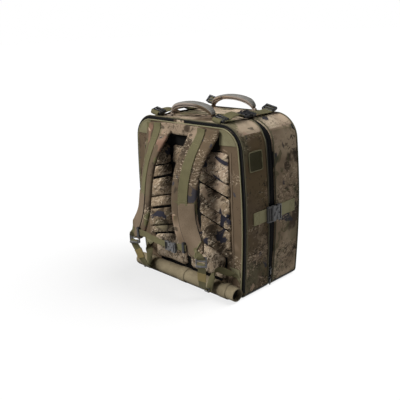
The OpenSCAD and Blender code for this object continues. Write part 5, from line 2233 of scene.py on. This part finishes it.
@dataclass(frozen=True)
class FrontLid:
    """The padded door of the front bag."""

    inset: float = 10.7
    thick: float = 4.0
    fold_w: float = 416.0
    fold_h: float = 7.6

    def build(self) -> None:
        """Makes the lid with its folded hem, and its binding."""
        low, high = box_mm("front_lid")
        lid = edge_panel("front_lid_cover", self.inset, high.y - self.thick, high.y, low.z)
        fold = block("fold", (self.fold_w, high.y - low.y - 1, self.fold_h),
                     (0, (low.y + high.y) / 2 - 0.3, low.z + self.fold_h / 2))
        rounded(fold, 1.0, 2)
        settle(joined("front_lid_cover", [lid, fold]), Body.LID, LIT_FRONT_CAMO, "front_lid", fill=0.3)
        bind_door("front_lid_binding", Body.LID, self.inset, low.z, high.y - 0.6)


# Studio


@dataclass(frozen=True)
class Studio:
    """Pale floor, soft light and the camera at the photograph's angle."""

    azimuth: float = 46.19
    elevation: float = 17.19
    roll: float = 2.66
    distance: float = 1923.1
    aside: float = -55.62
    aim_y: float = 71.5
    aim_z: float = 244.84
    focal_px: float = 576.05
    image_px: float = 400.0
    sensor: float = 36.0
    floor_m: float = 60.0
    key_way: Triple = (-0.30, -0.66, 0.69)
    back_way: Triple = (0.30, 0.50, 0.81)
    floor_way: Triple = (0.35, 0.45, 0.82)
    key: float = 4.6
    rim: float = 0.9
    floor_sun: float = 4.2
    fill: float = 0.05

    def build(self) -> None:
        """Sets up the whole studio."""
        self.camera()
        floor = self.floor()
        self.world()
        self.lights(floor)
        bpy.context.scene.view_settings.view_transform = "Standard"

    def camera(self) -> None:
        """Places the camera."""
        aim = moved(0, self.aim_y, self.aim_z) @ turned(self.azimuth, "Z") @ moved(self.aside, 0, 0)
        look = turned(90 - self.elevation, "X") @ turned(-self.roll, "Z")
        data = bpy.data.cameras.new("photo_camera")
        data.sensor_width = self.sensor
        data.lens = self.focal_px * self.sensor / self.image_px
        data.clip_end = 50.0
        camera = bpy.data.objects.new("photo_camera", data)
        bpy.context.scene.collection.objects.link(camera)
        camera.matrix_world = aim @ look @ moved(0, 0, self.distance)
        bpy.context.scene.camera = camera

    def floor(self) -> Piece:
        """Lays the floor, which keeps the pack's shadow and is white around it.

        Returns:
            The floor.
        """
        floor = added("studio_floor", bpy.ops.mesh.primitive_plane_add, size=self.floor_m)
        made = bpy.data.materials.new("white_paper_floor")
        tree = empty_tree(made)
        seen = add_node(tree, "LightPath", out="Is Camera Ray")
        for ray in ("Is Glossy Ray", "Is Transmission Ray"):
            other = add_node(tree, "LightPath", out=ray)
            seen = add_node(tree, "Math", {0: seen, 1: other}, operation="MAXIMUM")
        paper = add_node(tree, "BsdfDiffuse", {"Color": linear("#ffffff")})
        glow = add_node(tree, "Emission", {"Strength": 1.0})
        white = add_node(tree, "MixShader", {0: 0.8, 1: paper, 2: glow})
        dim = add_node(tree, "BsdfDiffuse", {"Color": linear("#b8b8b8")})
        mixed = add_node(tree, "MixShader", {0: seen, 1: dim, 2: white})
        add_node(tree, "OutputMaterial", {"Surface": mixed})
        floor.data.materials.append(made)
        return floor

    def world(self) -> None:
        """Sets the surroundings, white to the eye and dim as a light."""
        world = bpy.data.worlds.new("white_studio")
        tree = empty_tree(world)
        rays = [add_node(tree, "LightPath", out=ray) for ray in ("Is Camera Ray", "Is Transmission Ray")]
        seen = add_node(tree, "Math", dict(enumerate(rays)), operation="MAXIMUM")
        level = add_node(tree, "MapRange", {"Value": seen, "To Min": self.fill, "To Max": 1.0})
        sky = add_node(tree, "Background", {"Color": (1, 1, 1, 1), "Strength": level})
        add_node(tree, "OutputWorld", {"Surface": sky})
        bpy.context.scene.world = world

    def lights(self, floor: Piece) -> None:
        """Hangs the soft lights, one of them for the floor alone.

        Args:
            floor: The floor, whose shadow comes from its own light.
        """
        paper = bpy.data.collections.new("floor_light")
        paper.objects.link(floor)
        others = bpy.data.collections.new("pack_lights")
        others.objects.link(floor)
        others.collection_objects[0].light_linking.link_state = "EXCLUDE"
        suns = (("key_light", self.key_way, self.key, 34.0, others),
                ("back_light", self.back_way, self.rim, 40.0, others),
                ("floor_light", self.floor_way, self.floor_sun, 50.0, paper))
        for name, towards, strength, spread, linked in suns:
            data = bpy.data.lights.new(name, "SUN")
            data.energy = strength
            data.angle = radians(spread)
            lamp = bpy.data.objects.new(name, data)
            bpy.context.scene.collection.objects.link(lamp)
            lamp.location = Vector(towards) * 3
            lamp.rotation_euler = (-Vector(towards)).to_track_quat("-Z", "Y").to_euler()
            lamp.light_linking.receiver_collection = linked


def main() -> None:
    """Builds the pack's sub-assemblies in order, then the studio."""
    logging.basicConfig(level=logging.INFO, format="%(message)s")
    rear = Bag("rear", Body.REAR, SHADED_SIDE_CAMO, LIT_TOP_CAMO)
    front = Bag("front", Body.FRONT, LIT_FRONT_CAMO, LIT_FRONT_TOP_CAMO)
    rear.build()
    front.build()
    rear_wall, front_wall = box_mm("rear_divider"), box_mm("front_rear_wall")
    rear.wall_panel("rear_divider", "rear_divider_cloth", rear_wall[1].y, rear_wall[0].y)
    front.wall_panel("front_rear_wall", "front_wall_cloth", front_wall[0].y, front_wall[1].y)
    for edge, body, crossed in (("rear_back", Body.REAR, False), ("rear_mid", Body.REAR, True),
                                ("front_mid", Body.FRONT, True), ("front_edge", Body.FRONT, False)):
        PipedEdge(f"{edge}_piping", body, crossed).build()
    DoorZip("back", Body.REAR, Body.PANEL, "back_zip_door_tape", "back_zip_case_tape").build()
    DoorZip("front", Body.FRONT, Body.LID, "front_zip_lid_tape", "front_zip_case_tape").build()
    handles = (CarryHandle("rear", Body.REAR, Body.REAR_HANDLE),
               CarryHandle("front", Body.FRONT, Body.FRONT_HANDLE))
    for part in (JoiningZip(), SidePatch(), BackPanel(), Harness(), ChestStrap(), LumbarRoll(),
                 BridgeStraps(), *handles, FrontLid(), Studio()):
        part.build()


if __name__ == "__main__":
    main()
